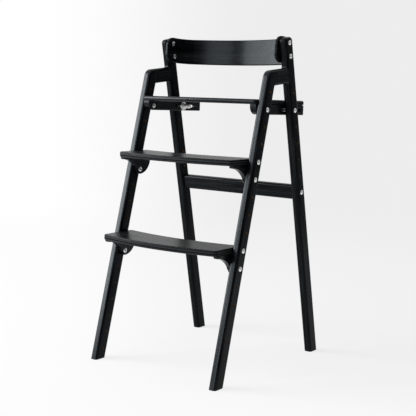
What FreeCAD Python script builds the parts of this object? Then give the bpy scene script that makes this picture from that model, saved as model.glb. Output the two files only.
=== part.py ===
import FreeCAD, Part
import os
import re
import Sketcher
from FreeCAD import Placement, Rotation, Vector

# Toddler counter height chair: two leaning side frames, a seat and two steps bolted between them.
# Millimetres. X runs to the right for someone facing the chair's front, Y to its back, Z up.
# The origin lies on the floor, in the middle of the four feet.

# Driving sizes: name, value, meaning
SIZES = {
    # Side frames
    "frame_width": (417, "outside of the left frame to outside of the right frame"),
    "post_length": (883, "rear leg with its post, floor to top along its middle line"),
    "leg_width": (36, "legs, front to back"),
    "leg_thickness": (22, "legs and arms, side to side"),
    "front_lean": (14.7, "front legs from upright, degrees"),
    "rear_lean": (11.7, "rear legs from upright, degrees"),
    "arm_span": (82.3, "arm's top edge between the legs' middle lines"),
    "arm_below_top": (79, "post top to the arm's top edge, along the post"),
    "arm_depth": (40, "arm, top to underside"),
    "arm_slope": (6, "arm's rise towards the back, degrees"),
    "arm_corner": (22, "rounding of the arm's front corner"),
    "post_corner": (10, "rounding of the post's top corners"),
    "window_corner": (4, "rounding of the frame's inner corners"),
    "frame_edge": (7, "rounding of the frame's long edges"),
    # Rows of holes
    "hole_pitch": (45, "hole to hole along a leg"),
    "hole_room": (1, "bolt holes and slots, wider than the bolts"),
    "front_hole_drop": (58.5, "arm's top edge to the first hole of the front leg"),
    "rear_hole_drop": (147.5, "post top to the first hole of the rear leg"),
    "hole_foot_margin": (20, "least height of a hole above the floor, along the leg"),
    "rear_hole_count": (7, "holes in the rear leg's row"),
    "seat_hole": (1, "holes above the seat bolts"),
    "upper_step_hole": (4, "holes above the upper step's bolts"),
    "lower_step_hole": (9, "holes above the lower step's bolts"),
    "crossbar_hole": (6, "holes above the crossbar's bolts"),
    # Bolts, nuts and dowels
    "bolt_diameter": (6, "bolt shank"),
    "bolt_head": (12.4, "bolt head across"),
    "bolt_head_height": (3.4, "bolt head, seat to crown"),
    "bolt_head_rim": (1.1, "straight rim below the crown"),
    "socket_across": (4, "hexagon socket, flat to flat"),
    "socket_depth": (2, "hexagon socket"),
    "thread_gap": (0.05, "between a bolt and its nut, all round"),
    "bolt_bite": (11, "bolt's reach into a nut or insert"),
    "sleeve_wall": (1.2, "sleeve of the sleeve nuts"),
    "sleeve_gap": (0.15, "between a sleeve and its hole, all round"),
    "sleeve_setback": (2, "sleeve's end behind the joint"),
    "nut_head": (13, "sleeve nut's head across"),
    "nut_head_height": (2, "sleeve nut's head, seat to crown"),
    "nut_head_rim": (0.8, "straight rim below the crown"),
    "insert_wall": (1.95, "threaded insert"),
    "insert_length": (14, "threaded insert"),
    "barrel_diameter": (10, "barrel nut"),
    "barrel_cover": (3, "wood in front of and behind a barrel nut"),
    "barrel_inset": (30, "barrel nut's middle from the crossbar's end"),
    "metal_gap": (0.1, "between inserts or barrel nuts and their holes, all round"),
    "dowel_diameter": (8, "wooden dowels"),
    "long_dowel": (30, "dowels of the arm joints and the crossbar"),
    "slot_roof": (1.5, "wood between a seat dowel and the slot below it"),
    "seat_roof": (5, "wood above a seat dowel"),
    "step_roof": (7, "wood above a step dowel"),
    "bracket_dowel_depth": (8, "step dowel into its bracket"),
    "dowel_gap": (0.1, "between a dowel and its hole, all round and at its ends"),
    "dowel_chamfer": (0.8, "dowel ends"),
    "arm_dowel_pitch": (19, "dowel to dowel in an arm joint"),
    # Seat
    "rail_thickness": (20, "seat rails, side to side"),
    "rail_height": (26, "seat rails, top to bottom"),
    "rail_front": (19, "front bolt to the rail's front end"),
    "rail_round": (21, "rounding of the rail's lower front corner"),
    "rail_end_round": (3, "rounding of the rail's other corners"),
    "rail_edge": (2, "rounding of the rail's long edges"),
    "slot_start": (98, "front bolt to the slot's first end centre"),
    "slot_length": (97, "slot, between its end centres"),
    "slot_tail": (16, "slot's last end centre to the rail's back end"),
    "seat_thickness": (13, "seat board"),
    "seat_overhang": (4, "seat board beyond the rails, front and back"),
    "seat_bow": (10, "how far the middle of the seat's front edge stands forward"),
    "seat_corner": (6, "rounding of the seat's corners"),
    "seat_edge": (5, "rounding of the seat's edges"),
    "side_gap": (0.5, "between a board's ends and the side frames"),
    "seat_dowel_start": (25, "front bolt to the first seat dowel"),
    "seat_dowel_pitch": (75, "seat dowel to seat dowel"),
    "seat_dowel_count": (3, "dowels in each rail"),
    # Thumb nuts on the seat's rear bolts
    "washer_below_seat": (0.5, "large washer's edge to the seat board"),
    "washer_thickness": (1.6, "large washer"),
    "washer_room": (0.6, "large washer's hole, wider than the bolt"),
    "washer_gap": (0.05, "rail to washer, and washer to thumb nut"),
    "thumb_flange": (17, "thumb nut's flange across"),
    "thumb_flange_thickness": (2.5, "thumb nut's flange"),
    "thumb_grip": (11.5, "thumb nut's grip across"),
    "thumb_length": (23, "thumb nut, seat to end"),
    "thumb_bore_depth": (17, "thumb nut's blind bore"),
    "thumb_end_round": (2, "rounding of the thumb nut's end"),
    "flute_count": (14, "flutes round the grip"),
    "flute_diameter": (2, "each flute"),
    "flute_depth": (0.45, "each flute, into the grip"),
    # Steps
    "step_thickness": (15, "step boards"),
    "step_front": (83, "upper bolt to the step's front corners"),
    "step_back": (29, "upper bolt to the step's back corners"),
    "step_bow": (23, "how far the middle of a step stands forward of its ends"),
    "step_corner": (10, "rounding of the step's front corners"),
    "step_heel": (8, "rounding of the step's back corners"),
    "step_edge": (3.5, "rounding of the step's edges"),
    "bracket_thickness": (14, "step brackets, side to side"),
    "bracket_front": (76, "upper bolt to the bracket's nose"),
    "bracket_lip": (6.5, "nose, top to bottom"),
    "bracket_hollow_wall": (6.2, "lower bolt's middle to the hollow behind the nose"),
    "bracket_margin": (13.5, "wood below the lower bolt"),
    "bracket_back": (31, "upper bolt to the bracket's back, under the board"),
    "bracket_back_radius": (42.5, "curve of the bracket's back"),
    "bracket_nose": (4.5, "rounding of the nose"),
    "bracket_toe": (4, "rounding of the lowest corner"),
    "bracket_edge": (2, "rounding of the bracket's edges"),
    "step_dowel_front": (40, "upper bolt forward to the front dowel"),
    "step_dowel_back": (14, "upper bolt back to the rear dowel"),
    # Crossbar
    "crossbar_height": (40, "crossbar, along the rear legs"),
    "crossbar_thickness": (20, "crossbar, front to back"),
    "crossbar_edge": (7, "rounding of the crossbar's long edges"),
    "crossbar_end_edge": (3, "rounding round the crossbar's ends"),
    "crossbar_dowel_drop": (10, "bolt down to the locating dowel"),
    "crossbar_dowel_depth": (11, "locating dowel into the leg"),
    # Backrest
    "backrest_height": (70, "bent strip, top to bottom"),
    "backrest_thickness": (9, "bent strip"),
    "backrest_tilt": (3.5, "backward tilt, degrees"),
    "backrest_reach": (28, "bolts to the strip's front ends"),
    "backrest_flat": (14, "bolts to where the strip starts to bend"),
    "backrest_bend": (52, "outer radius of the two bends"),
    "backrest_curve": (450, "outer radius of the middle"),
    "backrest_corner": (25, "rounding of the strip's four corners"),
    "backrest_edge": (2.5, "rounding of the strip's edges"),
    "backrest_bolt_drop": (14, "post top to the upper backrest bolt"),
    "backrest_bolt_pitch": (35, "bolt to bolt"),
}

# Lengths that follow from the driving sizes
FORMULAS = {
    "inner": "frame_width / 2 - leg_thickness",
    "front_sole": "leg_width / cos(front_lean)",
    "rear_sole": "leg_width / cos(rear_lean)",
    "arm_along": "post_length - arm_below_top",
    "front_top": "arm_along * cos(rear_lean) - arm_span * sin(arm_slope)",
    "front_length": "front_top / cos(front_lean)",
    "foot_span": "arm_along * sin(rear_lean) + arm_span * cos(arm_slope) + front_top * tan(front_lean)",
    "rear_foot": "(foot_span + front_sole / 2 - rear_sole / 2) / 2",
    "front_foot": "rear_foot - foot_span",
    "arm_y": "rear_foot - arm_along * sin(rear_lean)",
    "arm_z": "arm_along * cos(rear_lean)",
    "front_row": "front_length - front_hole_drop",
    "rear_row": "post_length - rear_hole_drop",
    "front_hole_count": "floor((front_row - hole_foot_margin) / hole_pitch) + 1",
    "bolt_hole": "bolt_diameter + hole_room",
    "thread": "bolt_diameter + 2 * thread_gap",
    "sleeve": "thread + 2 * sleeve_wall",
    "sleeve_hole": "sleeve + 2 * sleeve_gap",
    "insert": "thread + 2 * insert_wall",
    "dowel_hole": "dowel_diameter + 2 * dowel_gap",
    "rail_dowel_depth": "rail_height / 2 - bolt_hole / 2 - slot_roof",
    "seat_dowel_depth": "seat_thickness - seat_roof",
    "seat_dowel": "rail_dowel_depth + seat_dowel_depth",
    "seat_dowel_middle": "rail_height / 2 + (seat_dowel_depth - rail_dowel_depth) / 2",
    "step_dowel_depth": "step_thickness - step_roof",
    "step_dowel": "bracket_dowel_depth + step_dowel_depth",
    "step_dowel_middle": "bracket_top + (step_dowel_depth - bracket_dowel_depth) / 2",
    "barrel_length": "crossbar_thickness - 2 * barrel_cover",
    "seat_front_along": "front_row - seat_hole * hole_pitch",
    "seat_rear_along": "rear_row - seat_hole * hole_pitch",
    "seat_front_y": "front_foot + seat_front_along * sin(front_lean)",
    "seat_front_z": "seat_front_along * cos(front_lean)",
    "seat_rear_y": "rear_foot - seat_rear_along * sin(rear_lean)",
    "seat_rear_z": "seat_rear_along * cos(rear_lean)",
    "seat_tilt": "atan((seat_front_z - seat_rear_z) / (seat_rear_y - seat_front_y))",
    "rail_back": "slot_start + slot_length + slot_tail",
    "rail_inside": "inner - rail_thickness",
    "board_half": "inner - side_gap",
    "seat_front": "rail_front + seat_overhang",
    "seat_back": "rail_back + seat_overhang",
    "washer": "rail_height - 2 * washer_below_seat",
    "washer_hole": "bolt_diameter + washer_room",
    "washer_seat": "rail_inside - washer_gap",
    "thumb_seat": "washer_seat - washer_thickness - washer_gap",
    "lower_bolt_y": "-hole_pitch * sin(front_lean)",
    "lower_bolt_z": "-hole_pitch * cos(front_lean)",
    "bracket_top": "-step_thickness / 2",
    "bracket_bottom": "lower_bolt_z - bracket_margin",
    "nose_z": "bracket_top - bracket_lip",
    "nose_to_bolt": "bracket_front + lower_bolt_y",
    "nose_over_bolt": "nose_z - lower_bolt_z",
    "bracket_hollow": "(nose_to_bolt ^ 2 + nose_over_bolt ^ 2 - bracket_hollow_wall ^ 2)"
                      " / (2 * (bracket_hollow_wall + nose_over_bolt))",
    "bracket_rise": "nose_z - bracket_bottom",
    "bracket_run": "sqrt(bracket_hollow ^ 2 - (bracket_hollow - bracket_rise) ^ 2)",
    "backrest_along": "post_length - backrest_bolt_drop - backrest_bolt_pitch / 2",
    "backrest_twist": "rear_lean + backrest_tilt",
    "bend_x": "inner - backrest_bend",
    "bend_to_curve": "backrest_curve - backrest_bend",
    "curve_y": "backrest_flat - sqrt(bend_to_curve ^ 2 - bend_x ^ 2)",
}

LEFT = -1
RIGHT = 1
X_AXIS = Vector(1, 0, 0)
Y_AXIS = Vector(0, 1, 0)
Z_AXIS = Vector(0, 0, 1)
NEAR = 1e-4

doc = FreeCAD.newDocument("chair")
sheet = doc.addObject("Spreadsheet::Sheet", "size")
nodes = []


def fill_sheet():
    for row, (name, (number, meaning)) in enumerate(SIZES.items(), start=1):
        sheet.set(f"A{row}", name)
        sheet.set(f"B{row}", str(number))
        sheet.setAlias(f"B{row}", name)
        sheet.set(f"C{row}", meaning)
    doc.recompute()


def formula(text):
    """Write a formula of size names as an expression on the sheet."""
    def expand(match):
        word = match.group(0)
        if word in FORMULAS:
            return "(" + formula(FORMULAS[word]) + ")"
        return "size." + word if word in SIZES else word
    return re.sub(r"[A-Za-z_]\w*", expand, text)


def value(text):
    return float(sheet.evalExpression(formula(text)))


def bind(thing, **formulas):
    """Bind properties to formulas; a double underscore stands for a dot."""
    for path, text in formulas.items():
        thing.setExpression(path.replace("__", "."), formula(text))


def place(thing, x="0", y="0", z="0", axis=X_AXIS, turn="0", path="Placement"):
    setattr(thing, path, Placement(Vector(), Rotation(axis, 1)))
    for name, text in (("Base.x", x), ("Base.y", y), ("Base.z", z), ("Rotation.Angle", turn)):
        thing.setExpression(f"{path}.{name}", formula(text))


def node(thing, label):
    thing.Label = label
    nodes.append(thing)


# Sketches and features

def new_body(name):
    return doc.addObject("PartDesign::Body", name)


def new_sketch(body, name, role, x="0", y="0", lift="0", turn="0"):
    """A sketch on one of the body's origin planes, shifted in it, lifted off it and turned in it."""
    sketch = body.newObject("Sketcher::SketchObject", name)
    plane = next(f for f in body.Origin.OriginFeatures if f.Role == role)
    sketch.AttachmentSupport = [(plane, "")]
    sketch.MapMode = "FlatFace"
    place(sketch, x, y, lift, Z_AXIS, turn, "AttachmentOffset")
    return sketch


def fix_point(sketch, geometry, end, corner):
    for kind, text in zip(("DistanceX", "DistanceY"), corner):
        number = sketch.addConstraint(Sketcher.Constraint(kind, -1, 1, geometry, end, value(text)))
        sketch.setExpression(f"Constraints[{number}]", formula(text))


def arc_between(start, end, radius, side):
    """Arc of less than half a circle, with its centre to the left (side 1) or right (-1)."""
    along = end - start
    across = Vector(-along.y, along.x, 0).normalize()
    reach = max(radius ** 2 - along.Length ** 2 / 4, 0) ** 0.5
    centre = (start + end) / 2 + across * (side * reach)
    first, last = (start, end) if side > 0 else (end, start)
    angles = [X_AXIS.getAngle(p - centre) * (1 if p.y >= centre.y else -1) for p in (first, last)]
    return Part.ArcOfCircle(Part.Circle(centre, Z_AXIS, radius), *angles)


def outline(sketch, corners, arcs=None):
    """Closed outline through corners given as formula pairs.

    arcs maps a corner's number to the radius and side of the arc that leaves it.
    """
    arcs = arcs or {}
    points = [Vector(value(a), value(b), 0) for a, b in corners]
    count = len(points)
    ends = []
    for i, start in enumerate(points):
        end = points[(i + 1) % count]
        if i in arcs:
            radius, side = arcs[i]
            sketch.addGeometry(arc_between(start, end, value(radius), side), False)
            ends.append((1, 2) if side > 0 else (2, 1))
        else:
            sketch.addGeometry(Part.LineSegment(start, end), False)
            ends.append((1, 2))
    for i in range(count):
        after = (i + 1) % count
        sketch.addConstraint(Sketcher.Constraint("Coincident", i, ends[i][1], after, ends[after][0]))
    for i, corner in enumerate(corners):
        fix_point(sketch, i, ends[i][0], corner)
    for i, (radius, _) in arcs.items():
        number = sketch.addConstraint(Sketcher.Constraint("Radius", i, value(radius)))
        sketch.setExpression(f"Constraints[{number}]", formula(radius))


def circle(sketch, diameter, centre=("0", "0")):
    point = Vector(value(centre[0]), value(centre[1]), 0)
    sketch.addGeometry(Part.Circle(point, Z_AXIS, value(diameter) / 2), False)
    fix_point(sketch, 0, 3, centre)
    number = sketch.addConstraint(Sketcher.Constraint("Diameter", 0, value(diameter)))
    sketch.setExpression(f"Constraints[{number}]", formula(diameter))


def pad(body, sketch, length, name="pad"):
    feature = body.newObject("PartDesign::Pad", name)
    feature.Profile = sketch
    bind(feature, Length=length)
    doc.recompute()
    return feature


def pocket(body, sketch, depth=None, forward=False, name="pocket"):
    """Cut against the sketch's normal, or along it where forward; right through without a depth."""
    before = body.Shape.Volume
    feature = body.newObject("PartDesign::Pocket", name)
    feature.Profile = sketch
    feature.Reversed = forward
    if depth is None:
        feature.Type = "ThroughAll"
    else:
        bind(feature, Length=depth)
    doc.recompute()
    if body.Shape.Volume > before - NEAR:
        raise RuntimeError(f"{body.Name}: {name} cuts nothing")
    return feature


def row(body, feature, sketch, axis, length, count, backward=False):
    """Repeat a cut along an axis of its sketch."""
    pattern = body.newObject("PartDesign::LinearPattern", feature.Name + "_row")
    pattern.Originals = [feature]
    pattern.Direction = (sketch, [axis])
    pattern.Reversed = backward
    bind(pattern, Length=length, Occurrences=count)
    body.Tip = pattern
    doc.recompute()
    return pattern


def round_edges(body, radius, chosen, name="rounding", kind="PartDesign::Fillet"):
    """Round, or chamfer, the edges of the body's tip that pass the test."""
    base = body.Tip
    names = [f"Edge{i}" for i, edge in enumerate(base.Shape.Edges, start=1) if chosen(edge)]
    if not names:
        raise RuntimeError(f"{body.Name}: {name} finds no edge")
    feature = body.newObject(kind, name)
    feature.Base = (base, names)
    bind(feature, **{"Size" if kind.endswith("Chamfer") else "Radius": radius})
    doc.recompute()
    return feature


def along(edge, axis):
    ends = edge.Vertexes
    if len(ends) < 2 or edge.Curve.TypeId != "Part::GeomLine":
        return False
    way = ends[1].Point - ends[0].Point
    return (way - axis * way.dot(axis)).Length < NEAR


def level(edge, axis, *heights):
    """True where the whole edge lies in a plane across the axis, at one of the heights."""
    reach = [point.dot(axis) for point in edge.discretize(5)]
    return any(all(abs(r - h) < NEAR for r in reach) for h in heights)


def near(edge, *corners):
    """True where the edge's middle, seen along X, lies on one of the corners."""
    middle = edge.CenterOfGravity
    return any(abs(middle.y - value(a)) < NEAR and abs(middle.z - value(b)) < NEAR for a, b in corners)


# Turned pieces and groups

def turned(name, profile, arcs=None):
    """A piece turned about X from corners given as distance along X and radius."""
    body = new_body(name)
    sketch = new_sketch(body, name + "_profile", "XY_Plane")
    outline(sketch, profile, arcs)
    feature = body.newObject("PartDesign::Revolution", "turn")
    feature.Profile = sketch
    feature.ReferenceAxis = (sketch, ["H_Axis"])
    feature.Angle = 360
    doc.recompute()
    return body


def rod(name, diameter, length):
    """A rod along Z, with the origin in its middle."""
    body = new_body(name)
    sketch = new_sketch(body, name + "_circle", "XY_Plane", lift=f"-({length}) / 2")
    circle(sketch, diameter)
    pad(body, sketch, length)
    return body


def hexagon(sketch, across):
    half = f"({across}) / 2"
    corner = f"({across}) / sqrt(3)"
    outline(sketch, [(half, f"{corner} / 2"), ("0", corner), (f"-{half}", f"{corner} / 2"),
                     (f"-{half}", f"-{corner} / 2"), ("0", f"-{corner}"), (half, f"-{corner} / 2")])


def crown_radius(width, height):
    return f"((({width}) / 2) ^ 2 + ({height}) ^ 2) / (2 * ({height}))"


def bolt(name, shank):
    """Domed socket bolt along X: the head's seat at zero, the shank towards minus X."""
    body = turned(name, [
        (f"-({shank})", "0"), ("bolt_head_height", "0"), ("bolt_head_rim", "bolt_head / 2"),
        ("0", "bolt_head / 2"), ("0", "bolt_diameter / 2"), (f"-({shank})", "bolt_diameter / 2"),
    ], {1: (crown_radius("bolt_head", "bolt_head_height - bolt_head_rim"), 1)})
    sketch = new_sketch(body, name + "_socket", "YZ_Plane", lift="bolt_head_height")
    hexagon(sketch, "socket_across")
    pocket(body, sketch, "socket_depth")
    return body


def sleeve_nut(name, length):
    """Sleeve nut along X: the head's seat at zero, the sleeve towards plus X."""
    body = turned(name, [
        ("-nut_head_height", "0"), ("0", "0"), ("0", "thread / 2"), (length, "thread / 2"),
        (length, "sleeve / 2"), ("0", "sleeve / 2"), ("0", "nut_head / 2"),
        ("-nut_head_rim", "nut_head / 2"),
    ], {7: (crown_radius("nut_head", "nut_head_height - nut_head_rim"), 1)})
    sketch = new_sketch(body, name + "_socket", "YZ_Plane", lift="-nut_head_height")
    hexagon(sketch, "socket_across")
    pocket(body, sketch, "nut_head_height", forward=True)
    return body


def copy(master, x, y, z, axis=X_AXIS, turn="0"):
    link = doc.addObject("App::Link", master.Name + "_copy")
    link.LinkedObject = master
    place(link, x, y, z, axis, turn, "LinkPlacement")
    return link


def group(label, copies):
    compound = doc.addObject("Part::Compound", label)
    compound.Links = copies
    node(compound, label)


def on_side(master, side, x, y, z):
    """A copy of a piece made for the right, or turned half round for the left."""
    return copy(master, f"{side} * ({x})", y, z, Z_AXIS, "0" if side == RIGHT else "180")


def both_sides(label, master, x, *spots):
    group(label, [on_side(master, side, x, y, z) for side in (LEFT, RIGHT) for y, z in spots])


# Places on the side frames, as formulas for Y and Z

def front_leg_point(distance):
    return f"front_foot + ({distance}) * sin(front_lean)", f"({distance}) * cos(front_lean)"


def rear_leg_point(distance):
    return f"rear_foot - ({distance}) * sin(rear_lean)", f"({distance}) * cos(rear_lean)"


def front_hole(index):
    return front_leg_point(f"front_row - ({index}) * hole_pitch")


def rear_hole(index):
    return rear_leg_point(f"rear_row - ({index}) * hole_pitch")


def meet_arm(foot, slope, drop):
    """Where a leg's face, standing at foot with a slope, meets the arm's top line lowered by drop."""
    z = f"(arm_z + tan(arm_slope) * ({foot} - arm_y) - ({drop})) / (1 - tan(arm_slope) * ({slope}))"
    return f"{foot} + ({slope}) * ({z})", z


def shifted(spot, y, z):
    return f"{spot[0]} + ({y})", f"{spot[1]} + ({z})"


FRONT_FACE = ("front_foot - front_sole / 2", "tan(front_lean)")
FRONT_BACK = ("front_foot + front_sole / 2", "tan(front_lean)")
REAR_FACE = ("rear_foot - rear_sole / 2", "-tan(rear_lean)")
ARM_UNDER = "arm_depth / cos(arm_slope)"
ARM_MIDDLE = "arm_depth / 2 / cos(arm_slope)"


def post_top(way):
    y, z = rear_leg_point("post_length")
    return shifted((y, z), f"{way} * leg_width / 2 * cos(rear_lean)",
                   f"{way} * leg_width / 2 * sin(rear_lean)")


def side_frame_blank(name, side):
    """A whole side frame, rounded over and drilled, before it is told apart into its three pieces."""
    body = new_body(name)
    sketch = new_sketch(body, name + "_outline", "YZ_Plane")
    arm_front = meet_arm(*FRONT_FACE, "0")
    arm_back = meet_arm(*REAR_FACE, "0")
    window_back = meet_arm(*REAR_FACE, ARM_UNDER)
    window_front = meet_arm(*FRONT_BACK, ARM_UNDER)
    outline(sketch, [
        ("front_foot - front_sole / 2", "0"), ("front_foot + front_sole / 2", "0"),
        window_front, window_back,
        ("rear_foot - rear_sole / 2", "0"), ("rear_foot + rear_sole / 2", "0"),
        post_top(1), post_top(-1), arm_back, arm_front,
    ])
    pad(body, sketch, "leg_thickness")
    round_edges(body, "arm_corner", lambda e: along(e, X_AXIS) and near(e, arm_front), "arm_corner")
    round_edges(body, "post_corner",
                lambda e: along(e, X_AXIS) and near(e, post_top(1), post_top(-1)), "post_corners")
    round_edges(body, "window_corner",
                lambda e: along(e, X_AXIS) and near(e, arm_back, window_back, window_front),
                "window_corners")
    round_edges(body, "frame_edge",
                lambda e: level(e, X_AXIS, 0, value("leg_thickness")) and not level(e, Z_AXIS, 0),
                "edges")
    front = new_sketch(body, name + "_front_row", "YZ_Plane", x="front_foot", turn="-front_lean")
    circle(front, "bolt_hole", ("0", "front_row"))
    row(body, pocket(body, front, forward=True), front, "V_Axis",
        "hole_pitch * (front_hole_count - 1)", "front_hole_count", backward=True)
    rear = new_sketch(body, name + "_rear_row", "YZ_Plane", x="rear_foot", turn="rear_lean")
    circle(rear, "bolt_hole", ("0", "rear_row"))
    row(body, pocket(body, rear, forward=True), rear, "V_Axis",
        "hole_pitch * (rear_hole_count - 1)", "rear_hole_count", backward=True)
    top = new_sketch(body, name + "_post_holes", "YZ_Plane", x="rear_foot", turn="rear_lean")
    circle(top, "bolt_hole", ("0", "post_length - backrest_bolt_drop"))
    row(body, pocket(body, top, forward=True), top, "V_Axis", "backrest_bolt_pitch", "2", backward=True)
    inside = "0" if side == RIGHT else "leg_thickness"
    peg = new_sketch(body, name + "_peg_hole", "YZ_Plane", x="rear_foot", lift=inside, turn="rear_lean")
    circle(peg, "dowel_hole", ("0", "rear_row - crossbar_hole * hole_pitch - crossbar_dowel_drop"))
    pocket(body, peg, "crossbar_dowel_depth + dowel_gap", forward=side == RIGHT)
    place(body, x="inner" if side == RIGHT else "-frame_width / 2")
    doc.recompute()
    return body


def leg_zone(name, side, front):
    """A block that holds one leg of a side frame and ends at the leg's joint with the arm."""
    box = doc.addObject("Part::Box", name)
    bind(box, Length="3 * leg_thickness", Width="2 * leg_width", Height="post_length + 2 * leg_width")
    lean = "front_lean" if front else "rear_lean"
    foot = "front_foot" if front else "rear_foot"
    start = "-1.5 * leg_width" if front else "-0.5 * leg_width"
    sign = 1 if front else -1
    place(box, f"{side} * (inner + leg_thickness / 2) - 1.5 * leg_thickness",
          f"{foot} + ({start}) * cos({lean}) - {sign} * leg_width * sin({lean})",
          f"-{sign} * ({start}) * sin({lean}) - leg_width * cos({lean})",
          turn=f"-{sign} * {lean}")
    return box


def combine(kind, label, base, tool):
    thing = doc.addObject(kind, label)
    thing.Base = base
    thing.Tool = tool
    return thing


def arm_dowel_places(side):
    """Middle of each arm dowel, with the turn about X that lays it square to its joint."""
    x = f"{side} * (inner + leg_thickness / 2)"
    for spot, lean, sign in ((meet_arm(*FRONT_BACK, ARM_MIDDLE), "front_lean", 1),
                             (meet_arm(*REAR_FACE, ARM_MIDDLE), "rear_lean", -1)):
        for half in (-0.5, 0.5):
            y, z = shifted(spot, f"{sign} * {half} * arm_dowel_pitch * sin({lean})",
                           f"{half} * arm_dowel_pitch * cos({lean})")
            yield x, y, z, X_AXIS, f"-90 - {sign} * {lean}"


def side_frame(side, dowel, dowel_bore):
    name = "left" if side == LEFT else "right"
    blank = side_frame_blank(name + "_frame_blank", side)
    front_zone = leg_zone(name + "_front_zone", side, front=True)
    rear_zone = leg_zone(name + "_rear_zone", side, front=False)
    bores = doc.addObject("Part::Compound", name + "_arm_bores")
    bores.Links = [copy(dowel_bore, *spot) for spot in arm_dowel_places(side)]
    no_front = combine("Part::Cut", name + "_frame_behind", blank, front_zone)
    pieces = {
        "front_leg": combine("Part::Common", name + "_front_part", blank, front_zone),
        "rear_leg": combine("Part::Common", name + "_rear_part", blank, rear_zone),
        "arm": combine("Part::Cut", name + "_arm_part", no_front, rear_zone),
    }
    for piece, shape in pieces.items():
        node(combine("Part::Cut", f"{name}_{piece}", shape, bores), f"{name}_{piece}")
    group(name + "_arm_dowels", [copy(dowel, *spot) for spot in arm_dowel_places(side)])


# Seat

def seat_rail(side):
    name = "left_seat_rail" if side == LEFT else "right_seat_rail"
    body = new_body(name)
    sketch = new_sketch(body, name + "_outline", "YZ_Plane")
    low, high = "-rail_height / 2", "rail_height / 2"
    corners = [("-rail_front", low), ("rail_back", low), ("rail_back", high), ("-rail_front", high)]
    outline(sketch, corners)
    pad(body, sketch, "rail_thickness")
    round_edges(body, "min(rail_round; rail_height - 2 * rail_edge)",
                lambda e: along(e, X_AXIS) and near(e, corners[0]), "front_round")
    round_edges(body, "rail_end_round", lambda e: along(e, X_AXIS) and near(e, corners[1]), "end_round")
    round_edges(body, "rail_edge",
                lambda e: level(e, X_AXIS, 0, value("rail_thickness"))
                and not level(e, Z_AXIS, value(high)), "edges")
    hole = new_sketch(body, name + "_bolt_hole", "YZ_Plane")
    circle(hole, "sleeve_hole")
    pocket(body, hole, forward=True)
    ends = new_sketch(body, name + "_slot_ends", "YZ_Plane")
    circle(ends, "bolt_hole", ("slot_start", "0"))
    row(body, pocket(body, ends, forward=True), ends, "H_Axis", "slot_length", "2")
    slot = new_sketch(body, name + "_slot", "YZ_Plane")
    slot_end = "slot_start + slot_length"
    outline(slot, [("slot_start", "-bolt_hole / 2"), (slot_end, "-bolt_hole / 2"),
                   (slot_end, "bolt_hole / 2"), ("slot_start", "bolt_hole / 2")])
    pocket(body, slot, forward=True)
    pegs = new_sketch(body, name + "_dowel_holes", "XY_Plane", lift=high)
    circle(pegs, "dowel_hole", ("rail_thickness / 2", "seat_dowel_start"))
    row(body, pocket(body, pegs, "rail_dowel_depth + dowel_gap"), pegs, "V_Axis",
        "seat_dowel_pitch * (seat_dowel_count - 1)", "seat_dowel_count")
    place(body, "-inner" if side == LEFT else "rail_inside", "seat_front_y", "seat_front_z",
          turn="-seat_tilt")
    node(body, name)


def seat_board():
    body = new_body("seat_board")
    under = "rail_height / 2"
    sketch = new_sketch(body, "seat_outline", "XY_Plane", lift=under)
    outline(sketch, [("-board_half", "-seat_front"), ("board_half", "-seat_front"),
                     ("board_half", "seat_back"), ("-board_half", "seat_back")],
            {0: ("(board_half ^ 2 + seat_bow ^ 2) / (2 * seat_bow)", 1)})
    pad(body, sketch, "seat_thickness")
    round_edges(body, "seat_corner", lambda e: along(e, Z_AXIS), "corners")
    round_edges(body, "seat_edge",
                lambda e: level(e, Z_AXIS, value(under), value(under + " + seat_thickness")), "edges")
    for side in (LEFT, RIGHT):
        pegs = new_sketch(body, f"seat_dowel_holes_{side + 1}", "XY_Plane", lift=under)
        circle(pegs, "dowel_hole", (f"{side} * (inner - rail_thickness / 2)", "seat_dowel_start"))
        row(body, pocket(body, pegs, "seat_dowel_depth + dowel_gap", forward=True), pegs, "V_Axis",
            "seat_dowel_pitch * (seat_dowel_count - 1)", "seat_dowel_count")
    place(body, "0", "seat_front_y", "seat_front_z", turn="-seat_tilt")
    node(body, "seat_board")


def seat_dowels(dowel):
    copies = []
    for side in (LEFT, RIGHT):
        for number in range(int(value("seat_dowel_count"))):
            distance = f"(seat_dowel_start + {number} * seat_dowel_pitch)"
            copies.append(copy(
                dowel, f"{side} * (inner - rail_thickness / 2)",
                f"seat_front_y + {distance} * cos(seat_tilt) + seat_dowel_middle * sin(seat_tilt)",
                f"seat_front_z - {distance} * sin(seat_tilt) + seat_dowel_middle * cos(seat_tilt)",
                X_AXIS, "-seat_tilt"))
    group("seat_dowels", copies)


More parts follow.
